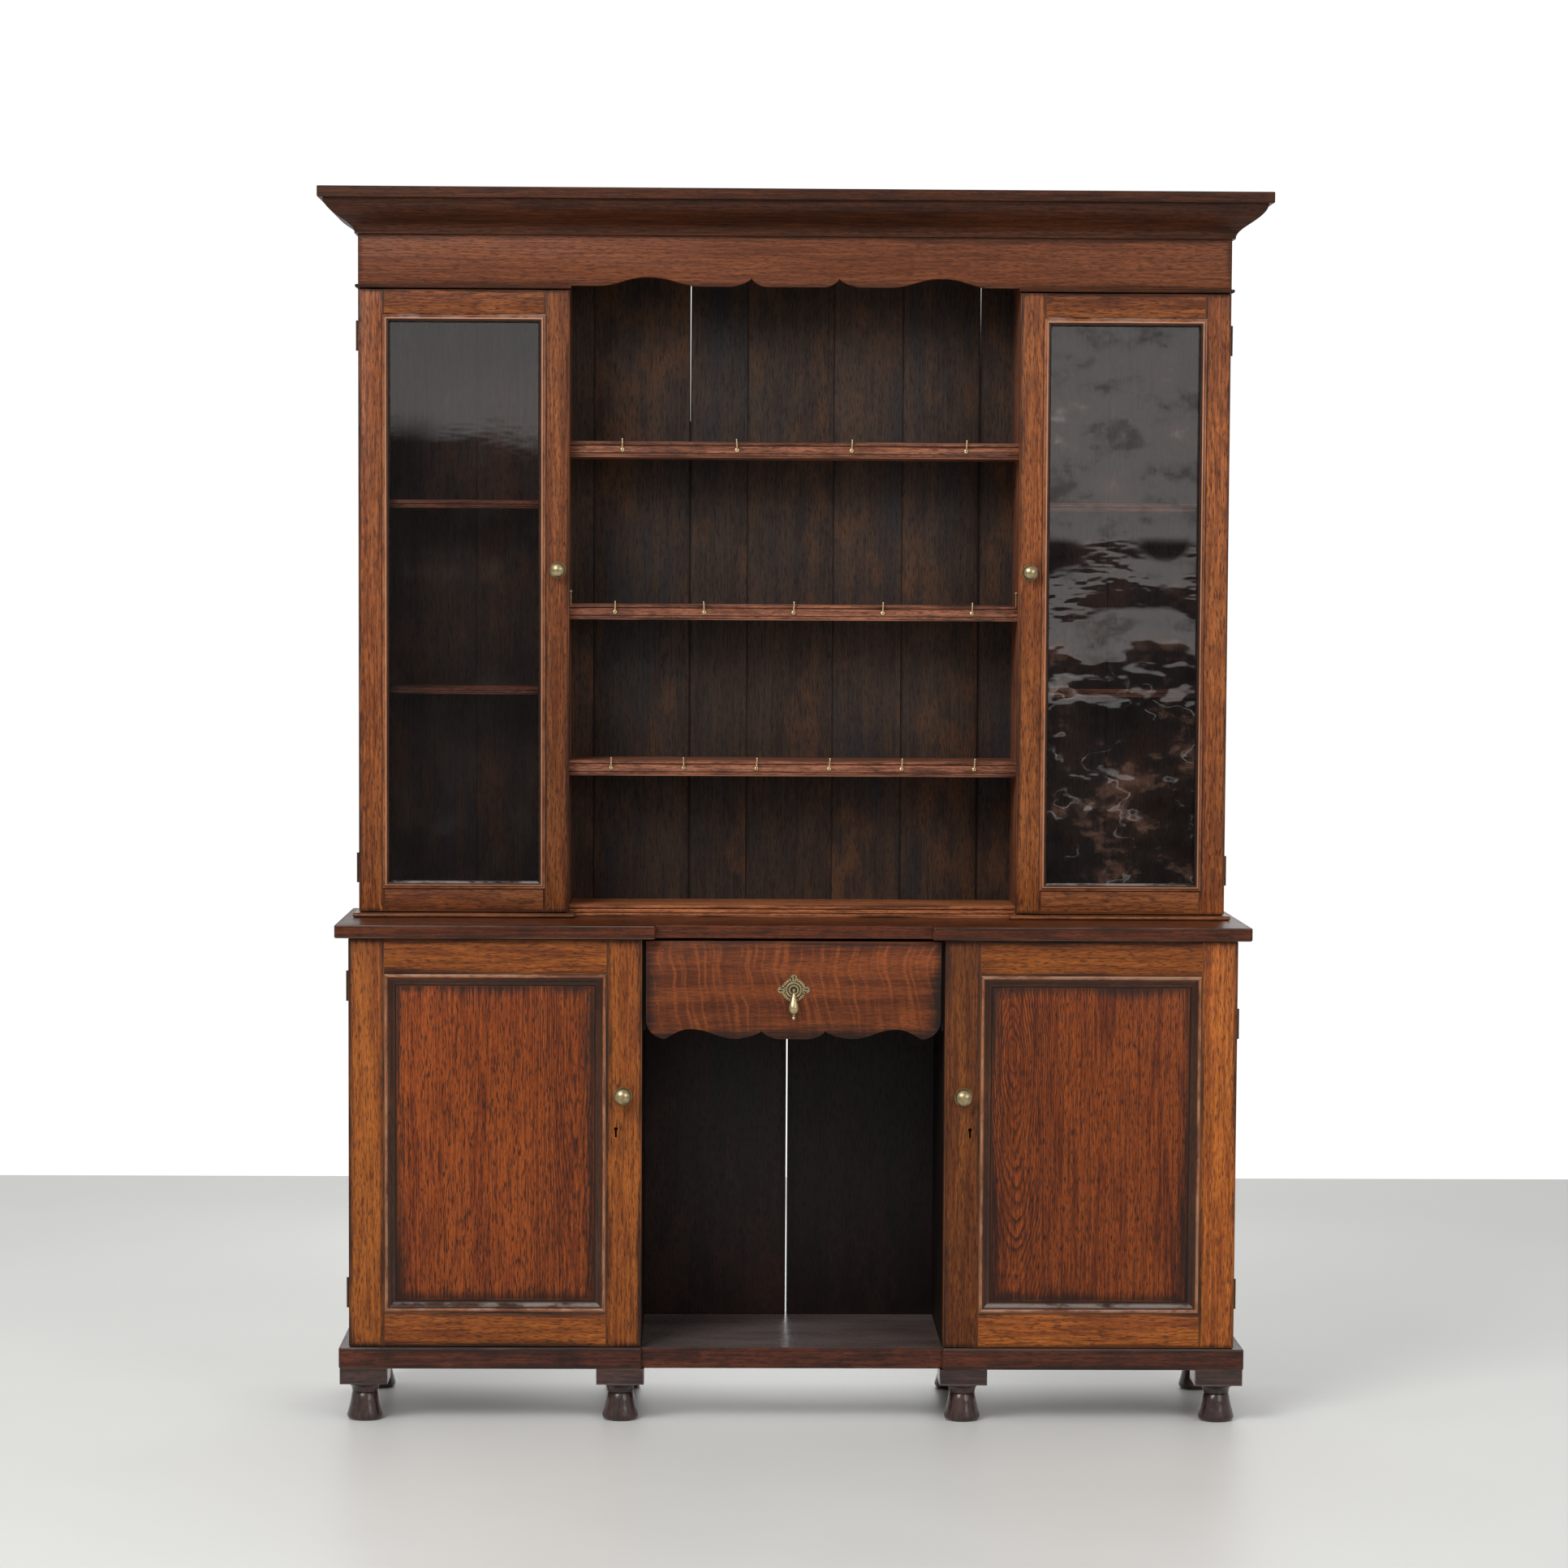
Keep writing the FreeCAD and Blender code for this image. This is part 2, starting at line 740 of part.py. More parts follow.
def handle_plate():
    y = drawer_y - plate_thick
    side_x = plate_half_width - lobe_radius
    top_z = plate_half_height - lobe_radius
    bulge = plate_bulge * corner_share
    outline = Outline(in_xz(y), side_x, handle_z)
    for x0, z0, x1, z1 in ((side_x, 0, 0, top_z), (0, top_z, -side_x, 0),
                           (-side_x, 0, 0, -top_z), (0, -top_z, side_x, 0)):
        mid_x = (x0 + x1) / 2
        mid_z = (z0 + z1) / 2
        out_x = mid_x + bulge * (1 if mid_x > 0 else -1)
        out_z = mid_z + bulge * (1 if mid_z > 0 else -1)
        outline.arc(out_x, handle_z + out_z, x1, handle_z + z1)
    plate = outline.face().extrude(Vec(0, plate_thick, 0))
    lobes = [rod(lobe_radius, Vec(x, y, handle_z + z), Vec(x, drawer_y, handle_z + z))
             for x, z in ((side_x, 0), (-side_x, 0), (0, top_z), (0, -top_z))]
    ring = Outline(in_xz(0), boss_hollow_radius, 0)
    ring.line(boss_radius, 0)
    ring.line(boss_radius, boss_height * boss_wall_share)
    wall = boss_radius - boss_hollow_radius
    ring.arc(boss_radius - wall * boss_turn_share, boss_height * boss_rise_share,
             boss_radius - wall / 2, boss_height)
    ring.line(boss_hollow_radius, boss_height * boss_wall_share)
    boss = lathe(ring)
    boss.rotate(Vec(0, 0, 0), Vec(1, 0, 0), 90)
    boss.translate(Vec(0, y, handle_z))
    post = rod(handle_post_radius, Vec(0, handle_y + ear_radius, handle_z), Vec(0, drawer_y, handle_z))
    inner = eye_width / 2 + handle_play
    outer = inner + ear_thick
    ears = []
    for side in (-1, 1):
        start = Vec(side * inner, handle_y, handle_z)
        ears.append(rod(ear_radius, start, Vec(side * outer, handle_y, handle_z)))
        ears.append(box(min(side * inner, side * outer), max(side * inner, side * outer), handle_y,
                        drawer_y - plate_thick, handle_z - ear_radius, handle_z + ear_radius))
    shank = rod(handle_shank_radius, Vec(0, y, handle_z),
                Vec(0, drawer_back_y + handle_nut_thick, handle_z))
    pin = rod(handle_pin_radius, Vec(-outer, handle_y, handle_z), Vec(outer, handle_y, handle_z))
    room = rod(eye_radius + handle_clearance, Vec(-inner, handle_y, handle_z),
               Vec(inner, handle_y, handle_z))
    body = joined([plate, boss, post] + lobes + ears).cut(room)
    return joined([body, shank, pin])


def drop():
    """The hanging drop: an eye, a neck that swells to a belly, a waist and a ball."""
    neck_z = -drop_neck_share * drop_length
    belly_z = -drop_belly_share * drop_length
    waist_z = -drop_waist_share * drop_length
    ball_z = drop_ball_radius - drop_length
    ball_start = ball_z + (drop_ball_radius ** 2 - drop_waist_radius ** 2) ** 0.5
    stem_z = -ear_radius - handle_clearance
    outline = Outline(in_xz(0), 0, 0)
    outline.line(drop_stem_radius, 0)
    outline.line(drop_stem_radius, stem_z)
    outline.line(drop_neck_radius, stem_z)
    outline.line(drop_neck_radius, neck_z)
    flank_top, flank_low = [-share * drop_length for share in drop_flank_shares]
    outline.curve((drop_flank_radius, flank_top), (drop_belly_radius, flank_low),
                  (drop_belly_radius, belly_z))
    outline.curve((drop_belly_radius, (belly_z + waist_z) / 2), (drop_belly_radius / 2, waist_z),
                  (drop_waist_radius, waist_z))
    outline.line(drop_waist_radius, ball_start)
    outline.arc(drop_ball_radius, ball_z, 0, -drop_length)
    body = lathe(outline)
    half = eye_width / 2
    eye = rod(eye_radius, Vec(-half, 0, 0), Vec(half, 0, 0))
    bore = rod(handle_pin_radius + pin_gap, Vec(-cut_over, 0, 0), Vec(cut_over, 0, 0))
    return moved(joined([body, eye]).cut(bore), 0, handle_y, handle_z)


shank_hole = rod(handle_shank_radius, Vec(0, drawer_y - cut_over, handle_z),
                 Vec(0, drawer_back_y + cut_over, handle_z))
nut = rod(handle_nut_radius, Vec(0, drawer_back_y, handle_z),
          Vec(0, drawer_back_y + handle_nut_thick, handle_z))
sockets = [copy for tail in tails for copy in both_sides(tail)]
save("drawer_front", [without(drawer_front(), [drawer_bottom, shank_hole] + sockets)])
save("handle_plate", [handle_plate(), nut.cut(shank_hole)])
save("handle_drop", [drop()])


# Doors

def door_frame(door, y, stile, bottom_rail, top_rail):
    """Two stiles and two rails, the rails tenoned into the stiles."""
    x0, x1, z0, z1 = door
    middle = y + door_thick / 2
    tenon_y = (middle - tenon_thick / 2, middle + tenon_thick / 2)
    rails = []
    for low, high in ((z0, z0 + bottom_rail), (z1 - top_rail, z1)):
        rail = box(x0 + stile, x1 - stile, y, y + door_thick, low, high)
        tenon = box(x0 + stile - tenon_length, x1 - stile + tenon_length, tenon_y[0], tenon_y[1],
                    low + tenon_shoulder, high - tenon_shoulder)
        rails.append(rail.fuse(tenon).removeSplitter())
    stiles = [box(low_x, low_x + stile, y, y + door_thick, z0, z1) for low_x in (x0, x1 - stile)]
    return [without(piece, rails) for piece in stiles] + rails


def mitred_frame(x0, x1, z0, z1, width, draw):
    """Four lengths of moulding, mitred at the corners. draw() gives the section's face."""
    y0 = face_y - door_thick
    y1 = back_y
    sides = (
        (lambda u, v: Vec(x0, v, z0 + u), Vec(x1 - x0, 0, 0),
         ((x0, z0), (x1, z0), (x1 - width, z0 + width), (x0 + width, z0 + width))),
        (lambda u, v: Vec(x0, v, z1 - u), Vec(x1 - x0, 0, 0),
         ((x0, z1), (x1, z1), (x1 - width, z1 - width), (x0 + width, z1 - width))),
        (lambda u, v: Vec(x0 + u, v, z0), Vec(0, 0, z1 - z0),
         ((x0, z0), (x0, z1), (x0 + width, z1 - width), (x0 + width, z0 + width))),
        (lambda u, v: Vec(x1 - u, v, z0), Vec(0, 0, z1 - z0),
         ((x1, z0), (x1, z1), (x1 - width, z1 - width), (x1 - width, z0 + width))),
    )
    pieces = []
    for place, along, corners in sides:
        length = draw(place).extrude(along)
        ends = Part.Face(Part.makePolygon([Vec(x, y0, z) for x, z in corners + corners[:1]]))
        pieces.append(length.common(ends.extrude(Vec(0, y1 - y0, 0))))
    return pieces


def panel_moulding(place):
    """A rounded bead beside the frame, then a hollow and a round down to the panel."""
    bead = panel_bead_share * panel_moulding_width
    toe = panel_toe_share * panel_moulding_width
    panel_y = face_y + panel_recess
    quirk_y = face_y + panel_moulding_proud / 2
    toe_y = panel_y - panel_moulding_proud / 2
    middle = (bead + toe) / 2
    outline = Outline(place, 0, panel_y)
    outline.line(0, face_y)
    outline.arc(bead / 2, face_y - panel_moulding_proud, bead, face_y)
    outline.line(bead, quirk_y)
    outline.curve((middle, quirk_y), (middle, toe_y), (toe, toe_y))
    outline.line(panel_moulding_width, toe_y)
    outline.line(panel_moulding_width, panel_y)
    return outline.face()


def glazing_moulding(place):
    """A rounded moulding that laps onto the frame and holds the glass from the front."""
    step = glazing_step_share * glazing_width
    glass_y = upper_face_y + glass_recess
    crown_y = upper_face_y - glazing_proud
    outline = Outline(place, 0, upper_face_y)
    outline.arc(step / 2, upper_face_y - glazing_proud / 2, step, upper_face_y - glazing_proud / 2)
    outline.arc((step + glazing_width) / 2, crown_y, glazing_width, upper_face_y + glazing_proud / 2)
    outline.line(glazing_width, glass_y)
    outline.line(glazing_lap, glass_y)
    outline.line(glazing_lap, upper_face_y)
    return outline.face()


def knob(radius, reach, x, y, z):
    """A turned knob: a ring against the door, a waisted stem and a crowned head."""
    stem = knob_stem_share * radius
    crown = knob_crown_share * radius
    edge = knob_edge_share * radius
    edge_r = radius - edge
    crown_z = reach - crown
    edge_z = crown_z + ((crown - edge) ** 2 - edge_r ** 2) ** 0.5
    under_z = edge_z - edge
    meet = crown / (crown - edge)
    meet_r = meet * edge_r
    meet_z = crown_z + meet * (edge_z - crown_z)
    chord_r = meet_r / 2
    chord_z = (meet_z + reach) / 2 - crown_z
    swell = crown / (chord_r ** 2 + chord_z ** 2) ** 0.5
    outline = Outline(in_xz(0), 0, 0)
    outline.line(radius + knob_ring_lap, 0)
    outline.line(radius + knob_ring_lap, knob_ring_thick)
    outline.line(radius - knob_ring_lap, knob_ring_thick)
    outline.arc(stem, (knob_ring_thick + under_z) / 2, edge_r, under_z)
    outline.arc(edge_r + edge * corner_share, edge_z - edge * corner_share, meet_r, meet_z)
    outline.arc(swell * chord_r, crown_z + swell * chord_z, 0, reach)
    shape = lathe(outline)
    shape.rotate(Vec(0, 0, 0), Vec(1, 0, 0), 90)
    return moved(shape, x, y, z)


def inside(door, stile, bottom_rail, top_rail, grow):
    """The opening of a door's frame, made larger or smaller all round."""
    x0, x1, z0, z1 = door
    return x0 + stile - grow, x1 - stile + grow, z0 + bottom_rail - grow, z1 - top_rail + grow


# Lower doors
panel_y = face_y + panel_recess
px0, px1, pz0, pz1 = inside(lower_door, lower_stile, lower_rail, lower_rail, panel_tongue)
panel = box(px0, px1, panel_y, panel_y + panel_thick, pz0, pz1)
lower_frame = door_frame(lower_door, face_y, lower_stile, lower_rail, lower_rail)
lower_frame = [without(piece, [panel, keyhole(door_thick)]) for piece in lower_frame]
mouldings = mitred_frame(*inside(lower_door, lower_stile, lower_rail, lower_rail, 0),
                         panel_moulding_width, panel_moulding)
lower_knob = knob(lower_knob_radius, knob_reach, lower_door[0] + lower_knob_inset, face_y,
                  lower_door[2] + lower_knob_share * (lower_door[3] - lower_door[2]))


def as_drawn(shape):
    return shape


for side_name, place in (("left", mirrored), ("right", as_drawn)):
    hinges = lower_left_hinges if side_name == "left" else lower_right_hinges
    leaves = [item[1] for item in hinges]
    save("lower_door_frame_" + side_name, [place(without(piece, leaves)) for piece in lower_frame])
    save("lower_door_panel_" + side_name, [place(panel)])
    save("lower_door_moulding_" + side_name, [place(piece) for piece in mouldings])
    save("lower_door_knob_" + side_name, [place(lower_knob)])
    save("lower_door_hinge_leaves_" + side_name, [place(piece) for piece in leaves])
    save("lock_case_" + side_name, [place(lock_case)])
    save("lock_bolt_" + side_name, [place(bolt)])

# Glazed doors
glass_y = upper_face_y + glass_recess
fillet_y = glass_y + glass_thick
opening = inside(upper_door, upper_stile, upper_bottom_rail, upper_top_rail, 0)
gx0, gx1, gz0, gz1 = inside(upper_door, upper_stile, upper_bottom_rail, upper_top_rail, -glass_play)
glass = box(gx0, gx1, glass_y, fillet_y, gz0, gz1)
upper_frame = door_frame(upper_door, upper_face_y, upper_stile, upper_bottom_rail, upper_top_rail)
glazing = mitred_frame(*inside(upper_door, upper_stile, upper_bottom_rail, upper_top_rail, glazing_lap),
                       glazing_width, glazing_moulding)


def glass_fillet(place):
    outline = Outline(place, 0, fillet_y)
    outline.line(fillet_width, fillet_y)
    depth = door_thick - glass_recess - glass_thick
    outline.arc(fillet_width * corner_share, fillet_y + depth * corner_share, 0, fillet_y + depth)
    return outline.face()


fillets = mitred_frame(*opening, fillet_width, glass_fillet)
upper_knob = knob(upper_knob_radius, upper_knob_reach, upper_door[0] + upper_knob_inset, upper_face_y,
                  upper_door[2] + upper_knob_share * (upper_door[3] - upper_door[2]))

# Wire hooks on the rack sides, and the eyes on the glazed doors that they reach for
hook_x = rack_half - hook_stand - hook_wire_radius
hook_y = upper_front_y + hook_setback
hook_z = upper_z + hook_share * upper_height


def wire_hook():
    """A hanging wire with a loop at the top and its tip turned back at the bottom."""
    loop = rod(hook_loop_radius, Vec(hook_x - hook_wire_radius - hook_loop_lip, hook_y, hook_z),
               Vec(hook_x + hook_wire_radius + hook_loop_lip, hook_y, hook_z))
    start_z = hook_z - (hook_loop_radius + hook_screw_radius) / 2
    end_z = hook_z - hook_length
    near = hook_bend_radius * (1 - corner_share)
    path = Outline(in_yz(hook_x), hook_y, start_z)
    path.line(hook_y, end_z + hook_bend_radius)
    path.arc(hook_y + near, end_z + near, hook_y + hook_bend_radius, end_z)
    path.line(hook_y + hook_tip, end_z)
    stem = bent_wire(path, hook_wire_radius, Vec(0, 0, 1))
    bore = rod(hook_screw_radius + pin_gap, Vec(hook_x - cut_over, hook_y, hook_z),
               Vec(hook_x + cut_over, hook_y, hook_z))
    return loop.fuse(stem).removeSplitter().cut(bore)


def hook_screw():
    shoulder_x = hook_x + hook_wire_radius + hook_loop_lip + hook_play
    head_x = hook_x - hook_wire_radius - hook_loop_lip - hook_play
    at = [Vec(x, hook_y, hook_z) for x in (rack_half, shoulder_x, head_x, head_x - hook_head_thick)]
    return joined([rod(hook_shoulder_radius, at[0], at[1]), rod(hook_screw_radius, at[0], at[2]),
                   rod(hook_head_radius, at[2], at[3])])


def door_eye():
    y = upper_face_y + door_eye_setback
    centre = Vec(upper_door[0] - door_eye_radius - door_eye_wire, y, hook_z)
    ring = Part.makeTorus(door_eye_radius, door_eye_wire, centre, Vec(0, 0, 1))
    shank = rod(door_eye_wire, Vec(centre.x + door_eye_radius, y, hook_z), Vec(upper_door[0], y, hook_z))
    return ring.fuse(shank).removeSplitter()


save("hook_screws", both_sides(hook_screw()))

upper_leaves = [item[1] for item in upper_hinges]
for side_name, place in (("left", mirrored), ("right", as_drawn)):
    save("glazed_door_frame_" + side_name, [place(without(piece, upper_leaves)) for piece in upper_frame])
    save("glazed_door_moulding_" + side_name, [place(piece) for piece in glazing])
    save("glazed_door_fillets_" + side_name, [place(piece) for piece in fillets])
    save("glazed_door_glass_" + side_name, [place(glass)])
    save("glazed_door_knob_" + side_name, [place(upper_knob)])
    save("glazed_door_hinge_leaves_" + side_name, [place(piece) for piece in upper_leaves])
    save("glazed_door_eye_" + side_name, [place(door_eye())])
    save("wire_hook_" + side_name, [place(wire_hook())])


# Upper case

upper_inner = upper_half - side_thick
rack_outer = rack_half + rack_side_thick
top_board_z = cornice_z - top_board_thick
glazed_shelves = [
    housings(rack_outer, upper_inner, upper_front_y + glazed_shelf_setback, upper_z + share * upper_height,
             glazed_shelf_thick)
    for share in glazed_shelf_shares
]
save("glazed_cupboard_shelves", [piece for shelf in glazed_shelves for piece in both_sides(shelf)])
upper_side = box(upper_inner, upper_half, upper_front_y, back_y, upper_z, cornice_z)
upper_case_leaves = [item[0] for item in upper_hinges]
save("upper_sides", both_sides(without(upper_side, glazed_shelves + upper_case_leaves)))


def moulded_shelf(z, thick, half):
    """A shelf whose front has a rounded bead along the top and a groove below it."""
    front = upper_front_y + plate_shelf_setback
    bead_z = z + thick - shelf_bead
    outline = Outline(in_yz(-half), boards_front_y, z)
    outline.line(front, z)
    outline.line(front, bead_z - shelf_quirk)
    outline.line(front + shelf_quirk, bead_z)
    outline.arc(front, bead_z + shelf_bead / 2, front + shelf_bead / 2, bead_z + shelf_bead)
    outline.line(boards_front_y, bead_z + shelf_bead)
    return outline.face().extrude(Vec(2 * half, 0, 0))


plate_shelf_z = [upper_z + share * upper_height for share in plate_shelf_shares]
plate_shelves = [moulded_shelf(z, plate_shelf_thick, rack_half + housing_depth) for z in plate_shelf_z]
save("plate_shelves", plate_shelves)
rack_side = box(rack_half, rack_outer, upper_front_y, boards_front_y, upper_z, top_board_z)
save("rack_sides", both_sides(without(rack_side, plate_shelves + glazed_shelves)))
cupboard_bottom = box(rack_outer, upper_inner, upper_front_y, boards_front_y, upper_z,
                      upper_z + bottom_board_thick)
save("bottom_boards", both_sides(cupboard_bottom) + [moulded_shelf(upper_z, bottom_board_thick, rack_half)])
save("top_board", [box(-upper_inner, upper_inner, upper_front_y, back_y, top_board_z, cornice_z)])


def rack_slits():
    """Two thin wedges: boards that have shrunk apart towards the top."""
    wedges = []
    for joint_share, foot_share in zip(slit_joint_shares, slit_foot_shares):
        x = joint_share * upper_inner
        foot_z = upper_z + foot_share * upper_height
        outline = Outline(in_xz(boards_front_y - cut_over), x, foot_z)
        outline.line(x + rack_slit, top_board_z)
        outline.line(x, top_board_z)
        wedges.append(outline.face().extrude(Vec(0, back_board_thick + 2 * cut_over, 0)))
    return wedges


upper_boards = back_boards(upper_inner, upper_joint_shares, slit_joint_shares, board_gap,
                           upper_z, top_board_z)
save("upper_back_boards", [without(piece, rack_slits()) for piece in upper_boards])


# Cup hooks along the plate shelves

def cup_hook(x, z):
    front = upper_front_y + plate_shelf_setback
    bend_y = front - cup_reach
    r = cup_bend_radius
    near = r * (1 - corner_share)
    path = Outline(in_yz(x), front, z)
    path.line(bend_y + r, z)
    path.arc(bend_y + near, z + near, bend_y, z + r)
    path.line(bend_y, z + cup_arm)
    wire = bent_wire(path, cup_wire_radius, Vec(0, 1, 0))
    flange = rod(cup_flange_radius, Vec(x, front, z), Vec(x, front - cup_flange_thick, z))
    return flange.fuse(wire).removeSplitter()


cup_hooks = []
for shelf_z, count, spread in zip(plate_shelf_z, cup_hook_counts, cup_hook_spread_shares):
    reach = spread * rack_half
    pitch = 2 * reach / (count - 1)
    hook_height = shelf_z + plate_shelf_thick - cup_hook_drop
    for number in range(count):
        cup_hooks.append(cup_hook(number * pitch - reach, hook_height))
save("cup_hooks", cup_hooks)


# Frieze, with scallops between the doors

def frieze():
    stops = wave_stops(rack_half, frieze_z, frieze_crest, frieze_wave_shares)
    flat_x = frieze_flat_share * rack_half
    outline = Outline(in_xz(upper_face_y), -upper_half, cornice_z)
    outline.line(-upper_half, frieze_z)
    outline.line(-flat_x, frieze_z)
    wave(outline, [(-flat_x, frieze_z, "crest")] + stops + [(flat_x, frieze_z, "crest")])
    outline.line(upper_half, frieze_z)
    outline.line(upper_half, cornice_z)
    return outline.face().extrude(Vec(0, upper_front_y - upper_face_y, 0))


save("frieze", [frieze()])


def side_bead(z, height, reach, inner_x, side_reach):
    """A rounded bead across the front of a glazed cupboard, mitred to a return at its side."""
    nose_y = upper_face_y - reach
    nose_x = upper_half + side_reach

    def section(place):
        outline = Outline(place, 0, z)
        outline.arc(-height / 2, z + height / 2, 0, z + height)
        return outline

    front = section(lambda u, v: Vec(inner_x, nose_y + height / 2 + u, v))
    front.line(upper_front_y - nose_y - height / 2, z + height)
    front.line(upper_front_y - nose_y - height / 2, z)
    front = front.face().extrude(Vec(nose_x - inner_x, 0, 0))
    side = section(lambda u, v: Vec(nose_x - height / 2 - u, nose_y, v))
    side.line(side_reach - height / 2, z + height)
    side.line(side_reach - height / 2, z)
    side = side.face().extrude(Vec(0, back_y - nose_y, 0))
    corners = ((nose_x, nose_y), (upper_half, nose_y + side_reach), (upper_half, upper_front_y),
               (inner_x, upper_front_y), (inner_x, nose_y))
    keep = prism(corners, z, height)
    return [front.common(keep), side.cut(keep)]


def prism(corners, z, height):
    """An upright block over a polygon, running past both ends of the given height."""
    low = z - cut_over
    floor = Part.Face(Part.makePolygon([Vec(x, y, low) for x, y in corners + corners[:1]]))
    return floor.extrude(Vec(0, 0, height + 2 * cut_over))


base_beads = side_bead(upper_z, base_bead_height, base_bead_reach,
                       rack_half - base_bead_lap, base_bead_side)
frieze_beads = side_bead(frieze_z - frieze_bead_height, frieze_bead_height, frieze_bead_reach,
                         rack_half - frieze_bead_lap, frieze_bead_side)
save("base_beads", [copy for piece in base_beads for copy in both_sides(piece)])
save("frieze_beads", [copy for piece in frieze_beads for copy in both_sides(piece)])


# Cornice: a moulded front and two returns, mitred at the corners

def cornice_section(place):
    """A hollow that turns into a round below a square lip. u runs outwards."""
    lip_z = cornice_z + cornice_height - cornice_top
    top_z = cornice_z + cornice_height
    rise = lip_z - cornice_z
    foot_z = cornice_z + cornice_foot_rise
    turn_u = cornice_turn_share * cornice_reach
    turn_z = cornice_z + cornice_turn_rise_share * rise
    curve_u = cornice_reach - cornice_step
    low_pull = cornice_turn_pull_share * (turn_u - cornice_foot)
    high_pull = cornice_turn_pull_share * (curve_u - turn_u)
    near = cornice_arris * (1 - corner_share)
    outline = Outline(place, -cornice_base, cornice_z)
    outline.line(cornice_foot, cornice_z)
    outline.line(cornice_foot, foot_z)
    outline.curve((cornice_foot, foot_z + cornice_foot_pull_share * (turn_z - foot_z)),
                  (turn_u - low_pull, turn_z - cornice_slope_share * low_pull), (turn_u, turn_z))
    outline.curve((turn_u + high_pull, turn_z + cornice_slope_share * high_pull),
                  (curve_u, lip_z - cornice_top_pull_share * (lip_z - turn_z)), (curve_u, lip_z))
    outline.line(cornice_reach - cornice_arris, lip_z)
    outline.arc(cornice_reach - near, lip_z + near, cornice_reach, lip_z + cornice_arris)
    outline.line(cornice_reach, top_z - cornice_arris)
    outline.arc(cornice_reach - near, top_z - near, cornice_reach - cornice_arris, top_z)
    outline.line(-cornice_base, top_z)
    return outline.face()


def cornice():
    out_x = upper_half + cornice_reach
    out_y = upper_face_y - cornice_reach
    in_x = upper_half - cornice_base
    in_y = upper_face_y + cornice_base
    front = cornice_section(lambda u, v: Vec(-out_x, upper_face_y - u, v)).extrude(Vec(2 * out_x, 0, 0))
    side = cornice_section(lambda u, v: Vec(upper_half + u, out_y, v)).extrude(Vec(0, back_y - out_y, 0))
    front_corners = ((-out_x, out_y), (out_x, out_y), (in_x, in_y), (-in_x, in_y))
    side_corners = ((out_x, out_y), (out_x, back_y), (in_x, back_y), (in_x, in_y))
    front = front.common(prism(front_corners, cornice_z, cornice_height))
    side = side.common(prism(side_corners, cornice_z, cornice_height))
    return [front] + both_sides(side)


save("cornice", cornice())
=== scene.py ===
import json
import math
import random
from types import SimpleNamespace

import bmesh
import bpy
from bpy.props import (
    FloatProperty,
    FloatVectorProperty,
    IntProperty,
    PointerProperty,
)
from mathutils import Matrix, Vector

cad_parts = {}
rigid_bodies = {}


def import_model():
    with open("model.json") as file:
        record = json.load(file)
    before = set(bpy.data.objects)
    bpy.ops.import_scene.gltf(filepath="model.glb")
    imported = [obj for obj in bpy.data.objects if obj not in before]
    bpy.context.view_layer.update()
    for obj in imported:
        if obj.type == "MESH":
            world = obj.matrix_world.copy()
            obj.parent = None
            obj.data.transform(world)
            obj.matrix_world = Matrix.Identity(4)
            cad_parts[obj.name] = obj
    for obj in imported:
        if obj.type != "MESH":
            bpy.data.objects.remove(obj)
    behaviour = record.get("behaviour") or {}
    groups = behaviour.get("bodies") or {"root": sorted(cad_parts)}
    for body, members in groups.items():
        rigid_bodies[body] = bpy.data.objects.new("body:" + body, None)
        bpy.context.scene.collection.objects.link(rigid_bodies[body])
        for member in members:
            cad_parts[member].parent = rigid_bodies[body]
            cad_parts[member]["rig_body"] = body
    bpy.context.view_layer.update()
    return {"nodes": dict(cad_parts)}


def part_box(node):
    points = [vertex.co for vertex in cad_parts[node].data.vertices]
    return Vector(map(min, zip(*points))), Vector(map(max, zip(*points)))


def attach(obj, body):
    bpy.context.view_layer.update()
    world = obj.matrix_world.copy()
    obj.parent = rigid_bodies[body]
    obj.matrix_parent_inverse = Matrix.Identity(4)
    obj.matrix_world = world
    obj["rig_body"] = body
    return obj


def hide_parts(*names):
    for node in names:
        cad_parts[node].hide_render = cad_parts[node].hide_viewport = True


bl_info = {
    "name": "Glazed oak dresser",
    "version": (1, 0, 0),
    "blender": (4, 5, 0),
    "location": "View3D > Sidebar > Dresser",
    "description": "Dresses the cabinet's boards, doors and fittings in old oak, brass and glass",
    "category": "Object",
}

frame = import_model()


# ---------------------------------------------------------------- sizes and colours


def length(name, description, default):
    return FloatProperty(
        name=name, description=description, default=default, min=0.0, unit="LENGTH"
    )


def colour(name, description, default):
    return FloatVectorProperty(
        name=name, description=description, default=default,
        size=3, min=0.0, max=1.0, subtype="COLOR",
    )


def amount(name, description, default):
    return FloatProperty(name=name, description=description, default=default, min=0.0)


def angle(name, description, degrees):
    return FloatProperty(
        name=name, description=description, default=math.radians(degrees), subtype="ANGLE"
    )


class DresserSizes(bpy.types.PropertyGroup):
    arris: length("Arris", "Rounding of the boards' outer corners", 0.0012)
    seam: length("Seam", "Rounding of the corners where two boards meet", 0.00035)
    screw_radius: length("Screw head radius", "Radius of the screws in the hinge leaves", 0.0032)
    screw_rise: length("Screw head rise", "How far a screw head stands above its leaf", 0.00015)
    screw_slot: length("Screw slot", "Width of the slot in a screw head", 0.0008)
    hook_wire: length("Cup hook wire", "Radius of the cup hooks' wire", 0.0014)
    hook_flange: length("Cup hook flange", "Radius of the cup hooks' domed flange", 0.0042)
    bead_radius: length("Plate bead", "Radius of the beads on the handle plate", 0.0019)
    bead_count: IntProperty(
        name="Beads for each side", description="Beads along each side of the handle plate",
        default=5, min=1,
    )
    seed: IntProperty(name="Grain seed", description="Picks the grain of every board", default=11)


